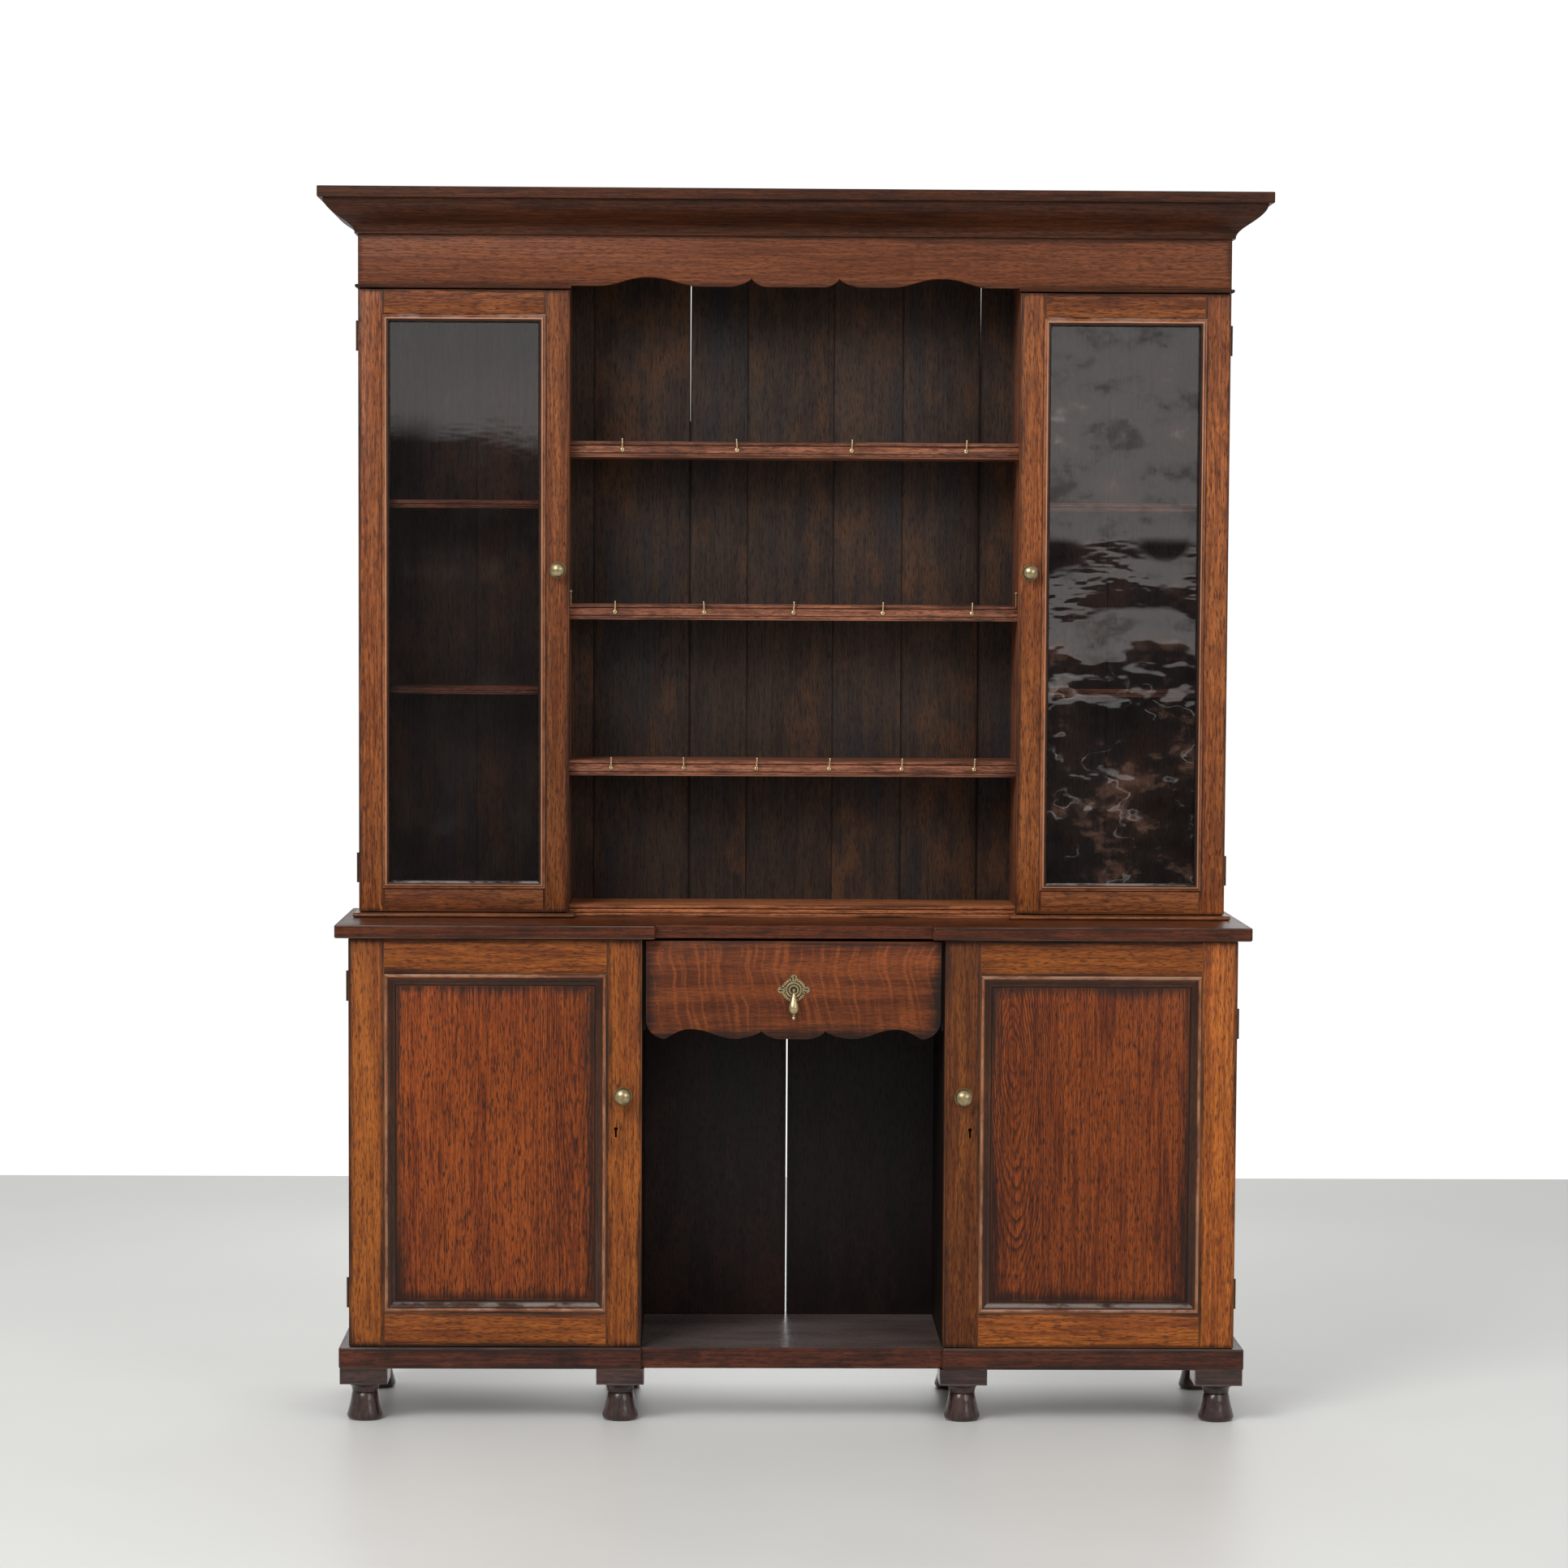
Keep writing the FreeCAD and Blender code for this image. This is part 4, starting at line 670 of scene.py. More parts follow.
@once
def old_glass(side):
    """A pane that is clear straight on and mirrors at its surface."""
    s = material("old_glass_" + side)
    pane = PANES[side]
    where = s.node("TexCoord", out=OBJECT_PLACE)
    across, _, up = s.split(where)
    low = s.smooth(up, SWIRL_TOP, SWIRL_FULL)
    swell = s.noise(where, (4.0, 4.0, 6.5), 1.0)
    ripple = s.noise(where, (14.0, 14.0, 34.0), 2.0, 0.6)
    ripple = ripple * s.smooth(s.noise(where, 5.0, 1.0), 0.45, 0.65)
    pale_film = s.noise(where, 14.0, 4.0, 0.7)
    veil = s.noise(where, (8.0, 8.0, 13.0), 5.0, 0.68)
    tip = (abs(across) - PANE_PLACE) * (pane.slant / pane.waves) + pane.lean / pane.waves
    warp = s.noise(where, (5.0, 5.0, 8.5), 2.5, 0.55) * low
    height = swell + ripple * 0.25 + warp * pane.swirls - (up - PANE_HEIGHT) * tip
    normal = s.bump(height, 1.0, pane.waves)
    mirror = s.node("BsdfGlossy", {}, {
        "Color": opaque((1.0, 0.98, 0.97)), "Roughness": 0.0, "Normal": normal,
    })
    clear = s.node("BsdfTransparent", {}, {"Color": opaque((0.92, 0.89, 0.88))})
    edge = s.node("Fresnel", {}, {"IOR": 1.5, "Normal": normal})
    dull = s.smooth(veil, 0.50, 0.36) * min(pane.swirls * 0.2, 0.5)
    bright = pane.shine * (1.0 - dull + s.smooth(veil, 0.60, 0.70) * pane.swirls * 0.25)
    glass = s.node("MixShader", {}, {0: edge * bright, 1: clear, 2: mirror})
    film = s.smooth(veil, 0.52, 0.64) * (low * 0.03 + 0.010) * pane.swirls
    haze = s.node("BsdfDiffuse", {}, {"Color": opaque(pane.film)})
    glass = s.node("MixShader", {}, {0: s.smooth(pale_film, 0.45, 0.9) * 0.02 + film, 1: glass, 2: haze})
    if pane.swirls:
        curl = s.noise(where, (7.0, 7.0, 12.0), 3.0, 0.55)
        wisps = s.smooth(abs(curl - 0.5), 0.012, 0.002) * s.smooth(veil, 0.44, 0.58) * low * 0.11
        white = s.node("BsdfDiffuse", {}, {"Color": opaque((0.75, 0.72, 0.70))})
        glass = s.node("MixShader", {}, {0: wisps, 1: glass, 2: white})
    return s.done(glass)


@once
def polished_floor():
    s = material("polished_floor")
    where = s.node("TexCoord", out=OBJECT_PLACE)
    cloud = s.noise(where, 1.1, 5.0, 0.6)
    grit = s.noise(where, 40.0, 3.0, 0.7)
    tone = s.scaled(rgb(studio().floor), 0.94 + cloud * 0.10 + grit * 0.03)
    rough = 0.30 + cloud * 0.18
    return s.done(s.surface(Base_Color=tone, Roughness=rough, Normal=s.bump(grit, 0.05, 0.001)))


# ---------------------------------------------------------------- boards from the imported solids

GRID = 20000.0               # corners on the same step are one, so many steps to a metre
FLAT = math.radians(0.25)    # faces that turn by less than this are one face
CORNER = math.radians(40.0)  # an edge sharper than this is rounded
SMOOTH = math.radians(32.0)  # an edge flatter than this is shaded as a curve


def closed_solids(node):
    """The triangles of each closed solid of a CAD node, as the keys of their corners, and where
    each key is. A solid ends where no edge is left open.
    """
    mesh = frame["nodes"][node].data
    keys = [tuple(round(c * GRID) for c in v.co) for v in mesh.vertices]
    places = {}
    for key, vertex in zip(keys, mesh.vertices):
        places.setdefault(key, vertex.co.copy())
    waiting = {}
    solids = []
    current = []
    for polygon in mesh.polygons:
        corners = [keys[i] for i in polygon.vertices]
        if len(set(corners)) < 3:
            continue
        current.append(corners)
        for a, b in zip(corners, corners[1:] + corners[:1]):
            if waiting.get((b, a)):
                waiting[b, a] -= 1
                if not waiting[b, a]:
                    del waiting[b, a]
            else:
                waiting[a, b] = waiting.get((a, b), 0) + 1
        if not waiting:
            solids.append(current)
            current = []
    if current:
        solids.append(current)
    return solids, places


def solid_bmesh(triangles, places):
    """One solid with its flat faces whole again."""
    bm = bmesh.new()
    made = {}
    for corners in triangles:
        for key in corners:
            if key not in made:
                made[key] = bm.verts.new(places[key])
        try:
            bm.faces.new([made[key] for key in corners])
        except ValueError:  # the same triangle a second time
            continue
    bm.normal_update()
    bmesh.ops.dissolve_limit(
        bm, angle_limit=FLAT, verts=bm.verts, edges=bm.edges, delimit={"NORMAL"}
    )
    return bm


def limits(points):
    low = Vector([min(p[i] for p in points) for i in range(3)])
    high = Vector([max(p[i] for p in points) for i in range(3)])
    return low, high


def soften(bm, low, high, arris, seam):
    """Round the straight corners by seam, and those on the outline of low and high by arris."""
    shortest, close = arris * 4, arris / 4
    outer, inner = [], []
    for edge in bm.edges:
        if len(edge.link_faces) != 2 or edge.calc_length() < shortest:
            continue
        if not edge.is_convex or edge.calc_face_angle(0.0) < CORNER:
            continue
        middle = (edge.verts[0].co + edge.verts[1].co) / 2
        touching = sum(
            min(abs(middle[i] - low[i]), abs(middle[i] - high[i])) < close for i in range(3)
        )
        (outer if touching >= 2 else inner).append(edge)
    for edges, radius in ((outer, arris), (inner, seam)):
        edges = [edge for edge in edges if edge.is_valid]
        if edges and radius:
            bmesh.ops.bevel(
                bm, geom=edges, offset=radius, segments=2, profile=0.6, affect="EDGES",
                clamp_overlap=True,
            )


class Grain:
    """Where each point lies along, across and through its board, and where the log's pith was."""

    def __init__(self, seed):
        self.rng = random.Random(seed)
        self.vectors = {"place": [], "half": [], "seed": [], "pith": []}
        self.numbers = {"tone": [], "edge": []}

    def pith(self, side, reach, cut):
        """The pith's place across and through the board and its lean. Half the boards were sawn
        beside it, half from behind it, and cut says it outright, across in half widths.
        """
        draw = self.rng.uniform
        if cut:
            return Vector((cut[0] * reach, cut[1], cut[2]))
        if self.rng.random() < 0.5:
            return Vector((side * (reach + draw(0.08, 0.25)), draw(-0.02, 0.02), 0.004))
        return Vector((draw(-0.7, 0.7) * reach, -draw(0.03, 0.09), side * draw(0.012, 0.03)))

    def board(self, points, axis, cut, hidden, tone):
        """hidden is how far the board's edges are sunk in the frame round it."""
        low, high = limits(points)
        middle = (low + high) / 2
        reach = (high - low) / 2
        along = axis if axis is not None else max(range(3), key=lambda i: reach[i])
        through = min((i for i in range(3) if i != along), key=lambda i: reach[i])
        across = 3 - along - through
        order = (along, across, through)
        side = self.rng.choice((-1, 1))
        pith = self.pith(side, reach[across], cut)
        offset = Vector([self.rng.uniform(-5.0, 5.0) for _ in order])
        tone = tone or self.rng.uniform(0.86, 1.16)
        half = Vector([reach[i] for i in order]) - Vector((hidden, hidden, 0.0))
        for point in points:
            place = Vector([point[i] - middle[i] for i in order])
            for name, value in zip(self.vectors, (place, half, offset, pith)):
                self.vectors[name].append(value)
            self.numbers["tone"].append(tone)

    def frame_edge(self, points, low, high):
        """How far each point lies in from the outline of the whole frame, seen from the front."""
        for p in points:
            reach = min(p.x - low.x, high.x - p.x, p.z - low.z, high.z - p.z)
            self.numbers["edge"].append(reach)

    def write(self, mesh):
        for name, values in self.vectors.items():
            layer = mesh.attributes.new(name, "FLOAT_VECTOR", "POINT")
            layer.data.foreach_set("vector", [c for v in values for c in v])
        for name, values in self.numbers.items():
            layer = mesh.attributes.new(name, "FLOAT", "POINT")
            layer.data.foreach_set("value", values)


def new_piece(name, mesh, body, look):
    piece = bpy.data.objects.new(name, mesh)
    bpy.context.scene.collection.objects.link(piece)
    mesh.materials.clear()
    mesh.materials.append(look)
    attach(piece, body)
    return piece


def shade(mesh):
    mesh.shade_smooth()
    mesh.set_sharp_from_angle(angle=SMOOTH)


def body_of(node):
    return frame["nodes"][node]["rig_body"]


def drawn_shut(places, gap):
    """Close the hairline gaps between neighbouring boards, so that no light shows through them."""
    group = []
    for place in sorted(places.values(), key=lambda p: p.x):
        if group and place.x - group[0].x > gap:
            middle = (group[0].x + group[-1].x) / 2
            for one in group:
                one.x = middle
            group = []
        group.append(place)


def dress(node, look, axis=None, cut=None, hidden=0.0, framed=False, plain=False,
          gap=0.0, tone=None):
    """Stand a softened, grained copy of a CAD node's boards in its place.

    axis is the way the grain runs, else each board's longest. framed boards share one outline,
    plain ones keep their corners, gap closes cracks up to it and tone picks a board's tone.
    """
    s = sizes()
    solids, places = closed_solids(node)
    if gap:
        drawn_shut(places, gap)
    grain = Grain(f"{s.seed} {node}")
    whole = limits(list(places.values()))
    verts, faces = [], []
    for triangles in solids:
        bm = solid_bmesh(triangles, places)
        own = limits([v.co for v in bm.verts])
        low, high = whole if framed else own
        if not plain:
            soften(bm, low, high, s.arris, s.seam if framed else s.arris)
        bm.verts.ensure_lookup_table()
        bm.verts.index_update()
        start = len(verts)
        points = [v.co.copy() for v in bm.verts]
        verts.extend(points)
        faces.extend([start + v.index for v in face.verts] for face in bm.faces)
        grain.board(points, axis, cut, hidden, tone(*own) if tone else None)
        grain.frame_edge(points, *whole)
        bm.free()
    mesh = bpy.data.meshes.new(node + "_dressed")
    mesh.from_pydata(verts, [], faces)
    mesh.update()
    grain.write(mesh)
    shade(mesh)
    piece = new_piece(node + "_dressed", mesh, body_of(node), look)
    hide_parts(node)
    return piece


def keep(node, look):
    """A CAD node whose shape is right stays and gets its finish."""
    mesh = frame["nodes"][node].data
    mesh.materials.clear()
    mesh.materials.append(look)


RAIL_HEIGHT = 0.3        # a part of a door frame that is lower than this is a rail
LOWER_DOOR_MIDDLE = 0.4
LOWER_OUTER_STILE = 0.5  # outer stiles stand further than this from the cabinet's middle
UPPER_OUTER_STILE = 0.6


def lower_tone(low, high):
    """The stiles beside the kennel are darker than the outer ones, most on the right."""
    middle = (low + high) / 2
    if high.z - low.z < RAIL_HEIGHT:
        return 0.80 if middle.z > LOWER_DOOR_MIDDLE else 0.90
    if abs(middle.x) > LOWER_OUTER_STILE:
        return 1.16 if middle.x > 0 else 0.90
    return 0.46 if middle.x > 0 else 0.86


def upper_tone(low, high):
    """The outer stiles are paler than the inner stiles and the rails."""
    middle = (low + high) / 2
    if high.z - low.z < RAIL_HEIGHT:
        return 0.80
    if abs(middle.x) > UPPER_OUTER_STILE:
        return 1.12
    return 0.76 if middle.x < 0 else 1.0


def kennel_shade_tone(low, high):
    """The left back boards of the kennel are made lighter and the right ones darker, the right ones
    as painted shade.
    """
    return 1.4 if low.x + high.x < 0 else 0.75


def sides(name):
    return [name + "_left", name + "_right"]


# ---------------------------------------------------------------- Geometry Nodes


class Tree:
    """A Geometry Nodes tree with named inputs, ending in Realize Instances and Set Material."""

    def __init__(self, name, inputs):
        self.tree = bpy.data.node_groups.new(name, "GeometryNodeTree")
        interface = self.tree.interface
        interface.new_socket("Geometry", in_out="OUTPUT", socket_type="NodeSocketGeometry")
        interface.new_socket("Geometry", in_out="INPUT", socket_type="NodeSocketGeometry")
        self.names = {}
        for key, kind in inputs.items():
            socket = interface.new_socket(key, in_out="INPUT", socket_type="NodeSocket" + kind)
            self.names[key] = socket.identifier
        self.given = self.tree.nodes.new("NodeGroupInput")

    def node(self, kind, settings=None, values=None):
        made = self.tree.nodes.new(kind)
        for key, value in (settings or {}).items():
            setattr(made, key, value)
        for key, value in (values or {}).items():
            sockets = value if isinstance(value, list) else [value]
            for one in sockets:
                if isinstance(one, bpy.types.NodeSocket):
                    self.tree.links.new(one, made.inputs[key])
                else:
                    made.inputs[key].default_value = one
        return made.outputs

    def part(self, kind, settings=None, **values):
        """What a geometry node makes. An underscore in a key stands for a space."""
        named = {key.replace("_", " "): value for key, value in values.items()}
        return self.node("GeometryNode" + kind, settings, named)[0]

    def times(self, value, factor):
        return self.node("ShaderNodeMath", {"operation": "MULTIPLY"}, {0: value, 1: factor})[0]

    def xyz(self, x=0.0, y=0.0, z=0.0):
        return self.node("ShaderNodeCombineXYZ", {}, {0: x, 1: y, 2: z})[0]

    def turned_at_random(self, least, most):
        """A turn about y, drawn anew for each point."""
        values = {2: least, 3: most, "Seed": self.given.outputs["Seed"]}
        drawn = self.node("FunctionNodeRandomValue", {"data_type": "FLOAT"}, values)
        return self.xyz(y=drawn[1])

    def end(self, geometry, smooth=True):
        real = self.part("RealizeInstances", Geometry=geometry)
        if smooth:
            real = self.part("SetShadeSmooth", Geometry=real)
        dressed = self.part("SetMaterial", Geometry=real, Material=self.given.outputs["Material"])
        self.tree.links.new(dressed, self.tree.nodes.new("NodeGroupOutput").inputs[0])
        return self

    def on(self, name, mesh, values):
        """The plain mesh that the tree makes of the given mesh."""
        carrier = bpy.data.objects.new(name + "_carrier", mesh)
        bpy.context.scene.collection.objects.link(carrier)
        modifier = carrier.modifiers.new("build", "NODES")
        modifier.node_group = self.tree
        for key, value in values.items():
            modifier[self.names[key]] = value
        bpy.context.view_layer.update()
        graph = bpy.context.evaluated_depsgraph_get()
        made = bpy.data.meshes.new_from_object(carrier.evaluated_get(graph))
        carrier.modifiers.clear()
        bpy.data.objects.remove(carrier)
        made.name = name
        return made


# Shares of a cup hook: height of its elbow, ball at the tip beside the wire, depth of the flange
ELBOW = 0.04
BALL = 1.25
DOME = 0.62


def cup_hook_tree():
    """Wire that leaves a domed flange, turns and stands up, at every point."""
    t = Tree("cup_hooks", {
        "Wire": "Float", "Flange": "Float", "Reach": "Float", "Rise": "Float", "Tilt": "Float",
        "Seed": "Int", "Material": "Material",
    })
    given = t.given.outputs
    back = t.times(given["Reach"], -1.0)
    tip = t.xyz(y=back, z=given["Rise"])
    path = t.part(
        "CurvePrimitiveBezierSegment", {"mode": "POSITION"}, Resolution=18, Start=t.xyz(),
        Start_Handle=t.xyz(y=back), End_Handle=t.xyz(y=back, z=t.times(given["Rise"], ELBOW)),
        End=tip,
    )
    ring = t.part("CurvePrimitiveCircle", {"mode": "RADIUS"}, Resolution=12, Radius=given["Wire"])
    wire = t.part("CurveToMesh", Curve=path, Profile_Curve=ring, Fill_Caps=True)
    flange = t.part("MeshUVSphere", Segments=24, Rings=12, Radius=given["Flange"])
    flange = t.part("Transform", Geometry=flange, Scale=(1.0, DOME, 1.0))
    ball = t.part("MeshUVSphere", Segments=12, Rings=8, Radius=t.times(given["Wire"], BALL))
    ball = t.part("Transform", Geometry=ball, Translation=tip)
    hook = t.part("JoinGeometry", Geometry=[wire, flange, ball])
    turn = t.turned_at_random(t.times(given["Tilt"], -1.0), given["Tilt"])
    return t.end(t.part(
        "InstanceOnPoints", Points=given["Geometry"], Instance=hook, Rotation=turn
    ))


def screw_tree():
    """A slotted screw head at every point, facing forwards."""
    t = Tree("screw_heads", {
        "Radius": "Float", "Rise": "Float", "Slot": "Float", "Seed": "Int", "Material": "Material",
    })
    given = t.given.outputs
    deep = t.times(given["Rise"], 2.0)
    head = t.part("MeshCylinder", Vertices=20, Radius=given["Radius"], Depth=deep)
    slot = t.part("MeshCube", Size=t.xyz(t.times(given["Radius"], 3.0), given["Slot"], deep))
    slot = t.part("Transform", Geometry=slot, Translation=t.xyz(z=given["Rise"]))
    head = t.part("MeshBoolean", {"operation": "DIFFERENCE"}, Mesh_1=head, Mesh_2=slot)
    head = t.part("Transform", Geometry=head, Rotation=(math.radians(90.0), 0.0, 0.0))
    turn = t.turned_at_random(0.0, math.tau)
    placed = t.part("InstanceOnPoints", Points=given["Geometry"], Instance=head, Rotation=turn)
    return t.end(placed, smooth=False)


def bead_tree():
    """A small bead at every point, sunk to its middle."""
    t = Tree("plate_beads", {"Radius": "Float", "Material": "Material"})
    given = t.given.outputs
    bead = t.part("MeshUVSphere", Segments=14, Rings=8, Radius=given["Radius"])
    return t.end(t.part("InstanceOnPoints", Points=given["Geometry"], Instance=bead))


def points_mesh(points):
    mesh = bpy.data.meshes.new("points")
    mesh.from_pydata([tuple(p) for p in points], [], [])
    return mesh


# ---------------------------------------------------------------- operators


class DRESSER_OT_feet(bpy.types.Operator):
    """Turned feet and the blocks above them"""

    bl_idname = "dresser.feet"
    bl_label = "Feet"
    bl_options = {"REGISTER", "UNDO"}

    def execute(self, context):
        dress("turned_feet", turned_oak(), axis=2, plain=True)
        dress("foot_blocks", turned_oak(), axis=0)
        return {"FINISHED"}


CRACK = 0.0005  # back boards as close as this show no light between them


class DRESSER_OT_lower_case(bpy.types.Operator):
    """Base board, sides, back boards, shelves and worktop of the lower case"""

    bl_idname = "dresser.lower_case"
    bl_label = "Lower case"
    bl_options = {"REGISTER", "UNDO"}

    def execute(self, context):
        dress("base_board", base_oak(), axis=0, plain=True)
        dress("worktop", top_oak(), axis=0, plain=True)
        dress("lower_sides", side_oak(), axis=2)
        dress("kennel_sides", kennel_oak(), axis=2)
        dress("lower_back_boards", kennel_oak(), axis=2, gap=CRACK, tone=kennel_shade_tone)
        dress("cupboard_shelves", inside_oak(), axis=0)
        dress("drawer_runners", inside_oak(), axis=1)
        dress("drawer_guides", kennel_oak(), axis=1)
        return {"FINISHED"}


class DRESSER_OT_upper_case(bpy.types.Operator):
    """Sides, back boards, shelves and top board of the upper case"""

    bl_idname = "dresser.upper_case"
    bl_label = "Upper case"
    bl_options = {"REGISTER", "UNDO"}

    def execute(self, context):
        dress("upper_sides", side_oak(), axis=2)
        dress("rack_sides", shelf_oak(), axis=2)
        dress("upper_back_boards", back_oak(), axis=2, gap=CRACK)
        dress("plate_shelves", shelf_oak(), axis=0)
        dress("bottom_boards", sill_oak(), axis=0)
        dress("glazed_cupboard_shelves", shelf_oak(), axis=0)
        dress("top_board", inside_oak(), axis=0)
        return {"FINISHED"}


class DRESSER_OT_mouldings(bpy.types.Operator):
    """Frieze, beads and cornice"""

    bl_idname = "dresser.mouldings"
    bl_label = "Frieze and cornice"
    bl_options = {"REGISTER", "UNDO"}

    def execute(self, context):
        dress("frieze", frieze_oak(), axis=0)
        dress("frieze_beads", cornice_oak(), plain=True)
        dress("base_beads", cupboard_bead_oak(), plain=True)
        dress("cornice", cornice_oak(), plain=True)
        return {"FINISHED"}


# Where the pith stood behind each panel, as Grain.pith takes it; the flame lies in front of it
PANEL_CUTS = {
    "lower_door_panel_left": (0.70, -0.030, 0.05),
    "lower_door_panel_right": (-0.66, -0.026, 0.15),
}
PANEL_SUNK = 0.028  # how far a panel's edges are hidden in its frame


class DRESSER_OT_panelled_doors(bpy.types.Operator):
    """The two lower doors: frames, panels and panel mouldings"""

    bl_idname = "dresser.panelled_doors"
    bl_label = "Panelled doors"
    bl_options = {"REGISTER", "UNDO"}

    def execute(self, context):
        for name in sides("lower_door_frame"):
            dress(name, frame_oak(), framed=True, tone=lower_tone)
        for name, cut in PANEL_CUTS.items():
            dress(name, panel_oak(), axis=2, cut=cut, hidden=PANEL_SUNK)
        for name in sides("lower_door_moulding"):
            dress(name, moulding_oak(), plain=True)
        return {"FINISHED"}


class DRESSER_OT_glazed_doors(bpy.types.Operator):
    """The two upper doors: frames, glazing mouldings, fillets and panes"""

    bl_idname = "dresser.glazed_doors"
    bl_label = "Glazed doors"
    bl_options = {"REGISTER", "UNDO"}

    def execute(self, context):
        for name in sides("glazed_door_frame"):
            dress(name, upper_frame_oak(), framed=True, tone=upper_tone)
        for name in sides("glazed_door_moulding"):
            dress(name, glazing_oak(), plain=True)
        for name in sides("glazed_door_fillets"):
            dress(name, side_oak(), plain=True)
        keep("glazed_door_glass_left", old_glass("left"))
        keep("glazed_door_glass_right", old_glass("right"))
        return {"FINISHED"}


class DRESSER_OT_drawer(bpy.types.Operator):
    """The drawer with its scalloped front"""

    bl_idname = "dresser.drawer"
    bl_label = "Drawer"
    bl_options = {"REGISTER", "UNDO"}

    def execute(self, context):
        dress("drawer_front", ribbon_oak(), axis=0)
        dress("drawer_box", inside_oak(), framed=True)
        dress("drawer_bottom", inside_oak(), axis=0)
        return {"FINISHED"}


BEAD_INSET = 1.3     # how far the beads' row lies in from the plate's tips, in bead radii
DIAMOND = 0.97       # size of the row's diamond in that space
PLATE_FACE = 0.0022  # how far the plate's face stands before the drawer front


class DRESSER_OT_brass(bpy.types.Operator):
    """Knobs and the drop handle with its beaded plate"""

    bl_idname = "dresser.brass"
    bl_label = "Brass fittings"
    bl_options = {"REGISTER", "UNDO"}

    def execute(self, context):
        for name in sides("lower_door_knob") + sides("glazed_door_knob"):
            dress(name, old_brass(*KNOB_BRASS), plain=True)
        low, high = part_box("handle_plate")
        middle, reach = (low + high) / 2, (high - low) / 2
        plate_brass = pierced_brass(middle.x, middle.z, reach.x, reach.z)
        dress("handle_plate", plate_brass, plain=True)
        dress("handle_drop", old_brass(), plain=True)
        self.beads()
        return {"FINISHED"}

    def beads(self):
        """Beads along the four sides of the plate, between its lobes."""
        s = sizes()
        low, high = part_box("handle_plate")
        middle = (low + high) / 2
        drawer_low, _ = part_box("drawer_front")
        reach_x = (high.x - low.x) / 2 - s.bead_radius * BEAD_INSET
        reach_z = (high.z - low.z) / 2 - s.bead_radius * BEAD_INSET
        points = []
        for side in range(4):
            for number in range(s.bead_count):
                share = (number + 1.5) / (s.bead_count + 2)
                turn = math.radians(90.0) * (side + share)
                swell = DIAMOND / (abs(math.cos(turn)) + abs(math.sin(turn)))
                points.append((
                    middle.x + reach_x * swell * math.cos(turn),
                    drawer_low.y - PLATE_FACE,
                    middle.z + reach_z * swell * math.sin(turn),
                ))
        values = {"Radius": s.bead_radius, "Material": old_brass()}
        mesh = bead_tree().on("plate_beads", points_mesh(points), values)
        new_piece("plate_beads", mesh, "drawer", old_brass())


# Screws of a hinge leaf, as shares of its width from the free edge and of its height
SCREW_PLACES = ((0.22, 0.18), (0.36, 0.5), (0.22, 0.82))
LEAF_EDGE = 0.05  # share of the leaf's width at the free edge, where the leaf is flat


class DRESSER_OT_ironwork(bpy.types.Operator):
    """Hinges with their screws, locks, bolts and wire hooks"""

    bl_idname = "dresser.ironwork"
    bl_label = "Ironwork"
    bl_options = {"REGISTER", "UNDO"}

    def execute(self, context):
        for name in ["case_hinge_leaves", "hinge_pins"] + sides("lower_door_hinge_leaves"):
            keep(name, browned_iron())
        for name in sides("glazed_door_hinge_leaves") + sides("lock_case") + sides("lock_bolt"):
            keep(name, browned_iron())
        for name in sides("wire_hook") + ["hook_screws"] + sides("glazed_door_eye"):
            keep(name, old_brass())
        self.screws("case_hinge_leaves", "case_hinge_screws", -1)
        for name in sides("lower_door_hinge_leaves") + sides("glazed_door_hinge_leaves"):
            self.screws(name, name.replace("leaves", "screws"), 1)
        return {"FINISHED"}

    def screws(self, node, name, way):
        """Three screws in each leaf. way is 1 where the leaf's face looks backwards."""
        s = sizes()
        solids, places = closed_solids(node)
        points = []
        for triangles in solids:
            corners = [places[key] for triangle in triangles for key in triangle]
            low, high = limits(corners)
            inner, outer = (high.x, low.x) if low.x < 0 else (low.x, high.x)
            width = outer - inner
            flat = [p.y for p in corners if abs(p.x - inner) < abs(width) * LEAF_EDGE]
            face = max(flat) if way > 0 else min(flat)
            for across, up in SCREW_PLACES:
                points.append((inner + width * across, face, low.z + up * (high.z - low.z)))
        values = {
            "Radius": s.screw_radius, "Rise": s.screw_rise, "Slot": s.screw_slot, "Seed": s.seed,
            "Material": browned_iron(),
        }
        mesh = screw_tree().on(name, points_mesh(points), values)
        new_piece(name, mesh, body_of(node), browned_iron())


HOOK_SINK = 0.0001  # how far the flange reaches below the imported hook
HOOK_ROOM = 1.3     # room for the ball at the tip, in wire radii
HOOK_TILT = math.radians(5.0)  # a hook leans to either side by up to this


class DRESSER_OT_cup_hooks(bpy.types.Operator):
    """Cup hooks along the plate shelves"""

    bl_idname = "dresser.cup_hooks"
    bl_label = "Cup hooks"
    bl_options = {"REGISTER", "UNDO"}

    def execute(self, context):
        s = sizes()
        solids, places = closed_solids("cup_hooks")
        boxes = [
            limits([places[key] for triangle in triangles for key in triangle])
            for triangles in solids
        ]
        points = [
            ((low.x + high.x) / 2, high.y, low.z + s.hook_flange - HOOK_SINK)
            for low, high in boxes
        ]
        low, high = boxes[0]
        room = s.hook_wire * HOOK_ROOM
        values = {
            "Wire": s.hook_wire, "Flange": s.hook_flange, "Reach": high.y - low.y - room,
            "Rise": high.z - low.z - s.hook_flange - room, "Tilt": HOOK_TILT,
            "Seed": s.seed, "Material": old_brass(*HOOK_BRASS),
        }
        mesh = cup_hook_tree().on("brass_cup_hooks", points_mesh(points), values)
        piece = new_piece("brass_cup_hooks", mesh, "case", old_brass(*HOOK_BRASS))
        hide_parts("cup_hooks")
        return {"FINISHED"}


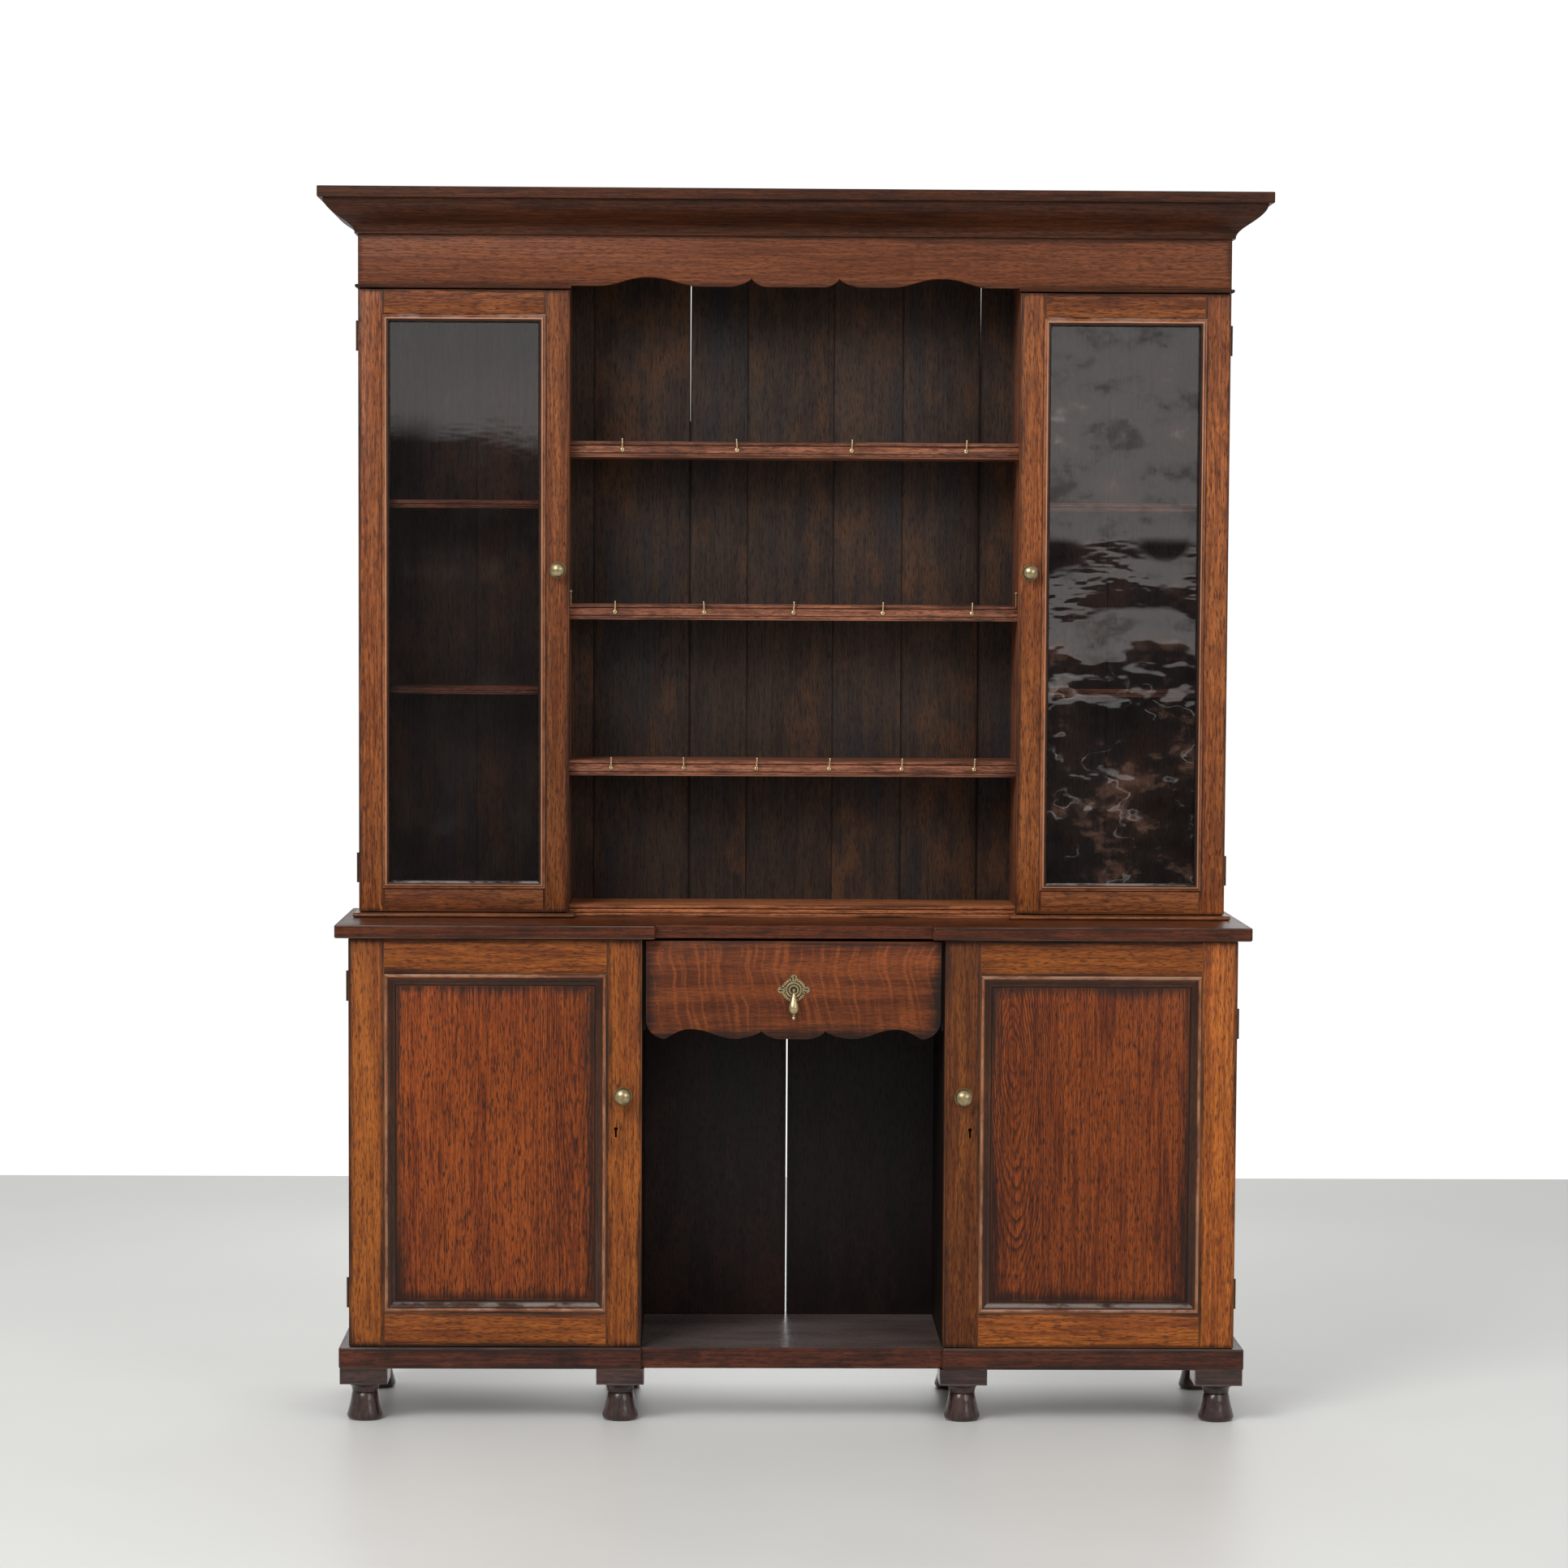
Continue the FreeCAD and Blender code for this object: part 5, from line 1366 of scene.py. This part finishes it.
# Lamps: place, width, power and the height on the cabinet's middle line that each aims at
LAMPS = {
    "key": ((-2.6, -4.2, 4.4), 3.0, 210.0, 1.0),
    "fill": ((3.4, -5.0, 3.0), 3.0, 70.0, 1.0),
    "back": ((0.4, 3.2, 2.8), 2.5, 28.0, 1.0),
    "under": ((0.0, 2.2, 0.9), 1.2, 5.0, 0.0),
}
FLOOR_SIDE, FLOOR_FRONT = 9.0, -12.0
EYE_LEVEL = (0.036, 0.044)  # how steeply upwards the room in front turns from dim to white
FRONT = (-0.35, -0.10)      # how far forwards a direction points where that dim room ends
CAMERA_WHITE = 1.05         # strength of the white that the camera sees behind the cabinet


class DRESSER_OT_stage(bpy.types.Operator):
    """Pale floor, soft light and the camera"""

    bl_idname = "dresser.stage"
    bl_label = "Stage"
    bl_options = {"REGISTER", "UNDO"}

    def execute(self, context):
        self.floor()
        self.sky(context)
        for name, lamp in LAMPS.items():
            self.lamp(name, *lamp)
        self.camera(context)
        return {"FINISHED"}

    def floor(self):
        s = studio()
        bm = bmesh.new()
        side, front = FLOOR_SIDE, FLOOR_FRONT
        corners = ((-side, front), (side, front), (side, s.wall), (-side, s.wall))
        bm.faces.new([bm.verts.new((x, y, 0.0)) for x, y in corners])
        mesh = bpy.data.meshes.new("studio_floor")
        bm.to_mesh(mesh)
        bm.free()
        mesh.materials.append(polished_floor())
        floor = bpy.data.objects.new("studio_floor", mesh)
        bpy.context.scene.collection.objects.link(floor)

    def sky(self, context):
        """White all round, but dim in front of the cabinet below eye level, as the panes show."""
        s = Shader(bpy.data.worlds.new("studio_light"))
        _, y, z = s.split(s.node("TexCoord"))
        lit = s.smooth(z, *EYE_LEVEL).high(s.smooth(y, *FRONT))
        seen = s.node("LightPath") * CAMERA_WHITE
        strength = (lit * studio().sky + studio().dusk).high(seen)
        white = {"Color": opaque((1.0, 1.0, 1.0)), "Strength": strength}
        s.done(s.node("Background", {}, white), "OutputWorld")
        context.scene.world = s.owner
        context.scene.view_settings.view_transform = "Standard"

    def lamp(self, name, place, size, power, aim):
        data = bpy.data.lights.new(name, "AREA")
        data.shape = "DISK"
        data.size = size
        data.energy = power
        lamp = bpy.data.objects.new(name, data)
        lamp.location = place
        lamp.rotation_mode = "QUATERNION"
        way = Vector((0.0, 0.0, aim)) - Vector(place)
        lamp.rotation_quaternion = way.to_track_quat("-Z", "Y")
        bpy.context.scene.collection.objects.link(lamp)

    def camera(self, context):
        s = studio()
        data = bpy.data.cameras.new("camera")
        data.lens = s.lens
        data.sensor_width = s.sensor
        data.shift_y = s.shift
        camera = bpy.data.objects.new("camera", data)
        upright = Matrix.Rotation(math.radians(90.0) - s.pitch, 4, "X")
        level = Matrix.Rotation(-s.yaw, 4, "Z") @ upright
        camera.matrix_world = Matrix.Translation(s.place) @ level @ Matrix.Rotation(s.roll, 4, "Z")
        context.scene.collection.objects.link(camera)
        context.scene.camera = camera


OPERATORS = (
    DRESSER_OT_feet,
    DRESSER_OT_lower_case,
    DRESSER_OT_upper_case,
    DRESSER_OT_mouldings,
    DRESSER_OT_panelled_doors,
    DRESSER_OT_glazed_doors,
    DRESSER_OT_drawer,
    DRESSER_OT_brass,
    DRESSER_OT_ironwork,
    DRESSER_OT_cup_hooks,
    DRESSER_OT_stage,
)


class DRESSER_PT_panel(bpy.types.Panel):
    """Sizes, colours and pieces of the dresser"""

    bl_idname = "DRESSER_PT_panel"
    bl_label = "Dresser"
    bl_space_type = "VIEW_3D"
    bl_region_type = "UI"
    bl_category = "Dresser"

    def draw(self, context):
        layout = self.layout
        for group in (sizes(), finish(), studio()):
            box = layout.box()
            for key in group.bl_rna.properties.keys():
                if key not in ("rna_type", "name"):
                    box.prop(group, key)
        for operator in OPERATORS:
            layout.operator(operator.bl_idname)


CLASSES = (DresserSizes, DresserFinish, DresserStudio, *OPERATORS, DRESSER_PT_panel)


def register():
    for cls in CLASSES:
        bpy.utils.register_class(cls)
    bpy.types.Scene.dresser_sizes = PointerProperty(type=DresserSizes)
    bpy.types.Scene.dresser_finish = PointerProperty(type=DresserFinish)
    bpy.types.Scene.dresser_studio = PointerProperty(type=DresserStudio)


def unregister():
    del bpy.types.Scene.dresser_studio
    del bpy.types.Scene.dresser_finish
    del bpy.types.Scene.dresser_sizes
    for cls in reversed(CLASSES):
        bpy.utils.unregister_class(cls)


def main():
    register()
    for operator in OPERATORS:
        group, action = operator.bl_idname.split(".")
        getattr(getattr(bpy.ops, group), action)()


if __name__ == "__main__":
    main()
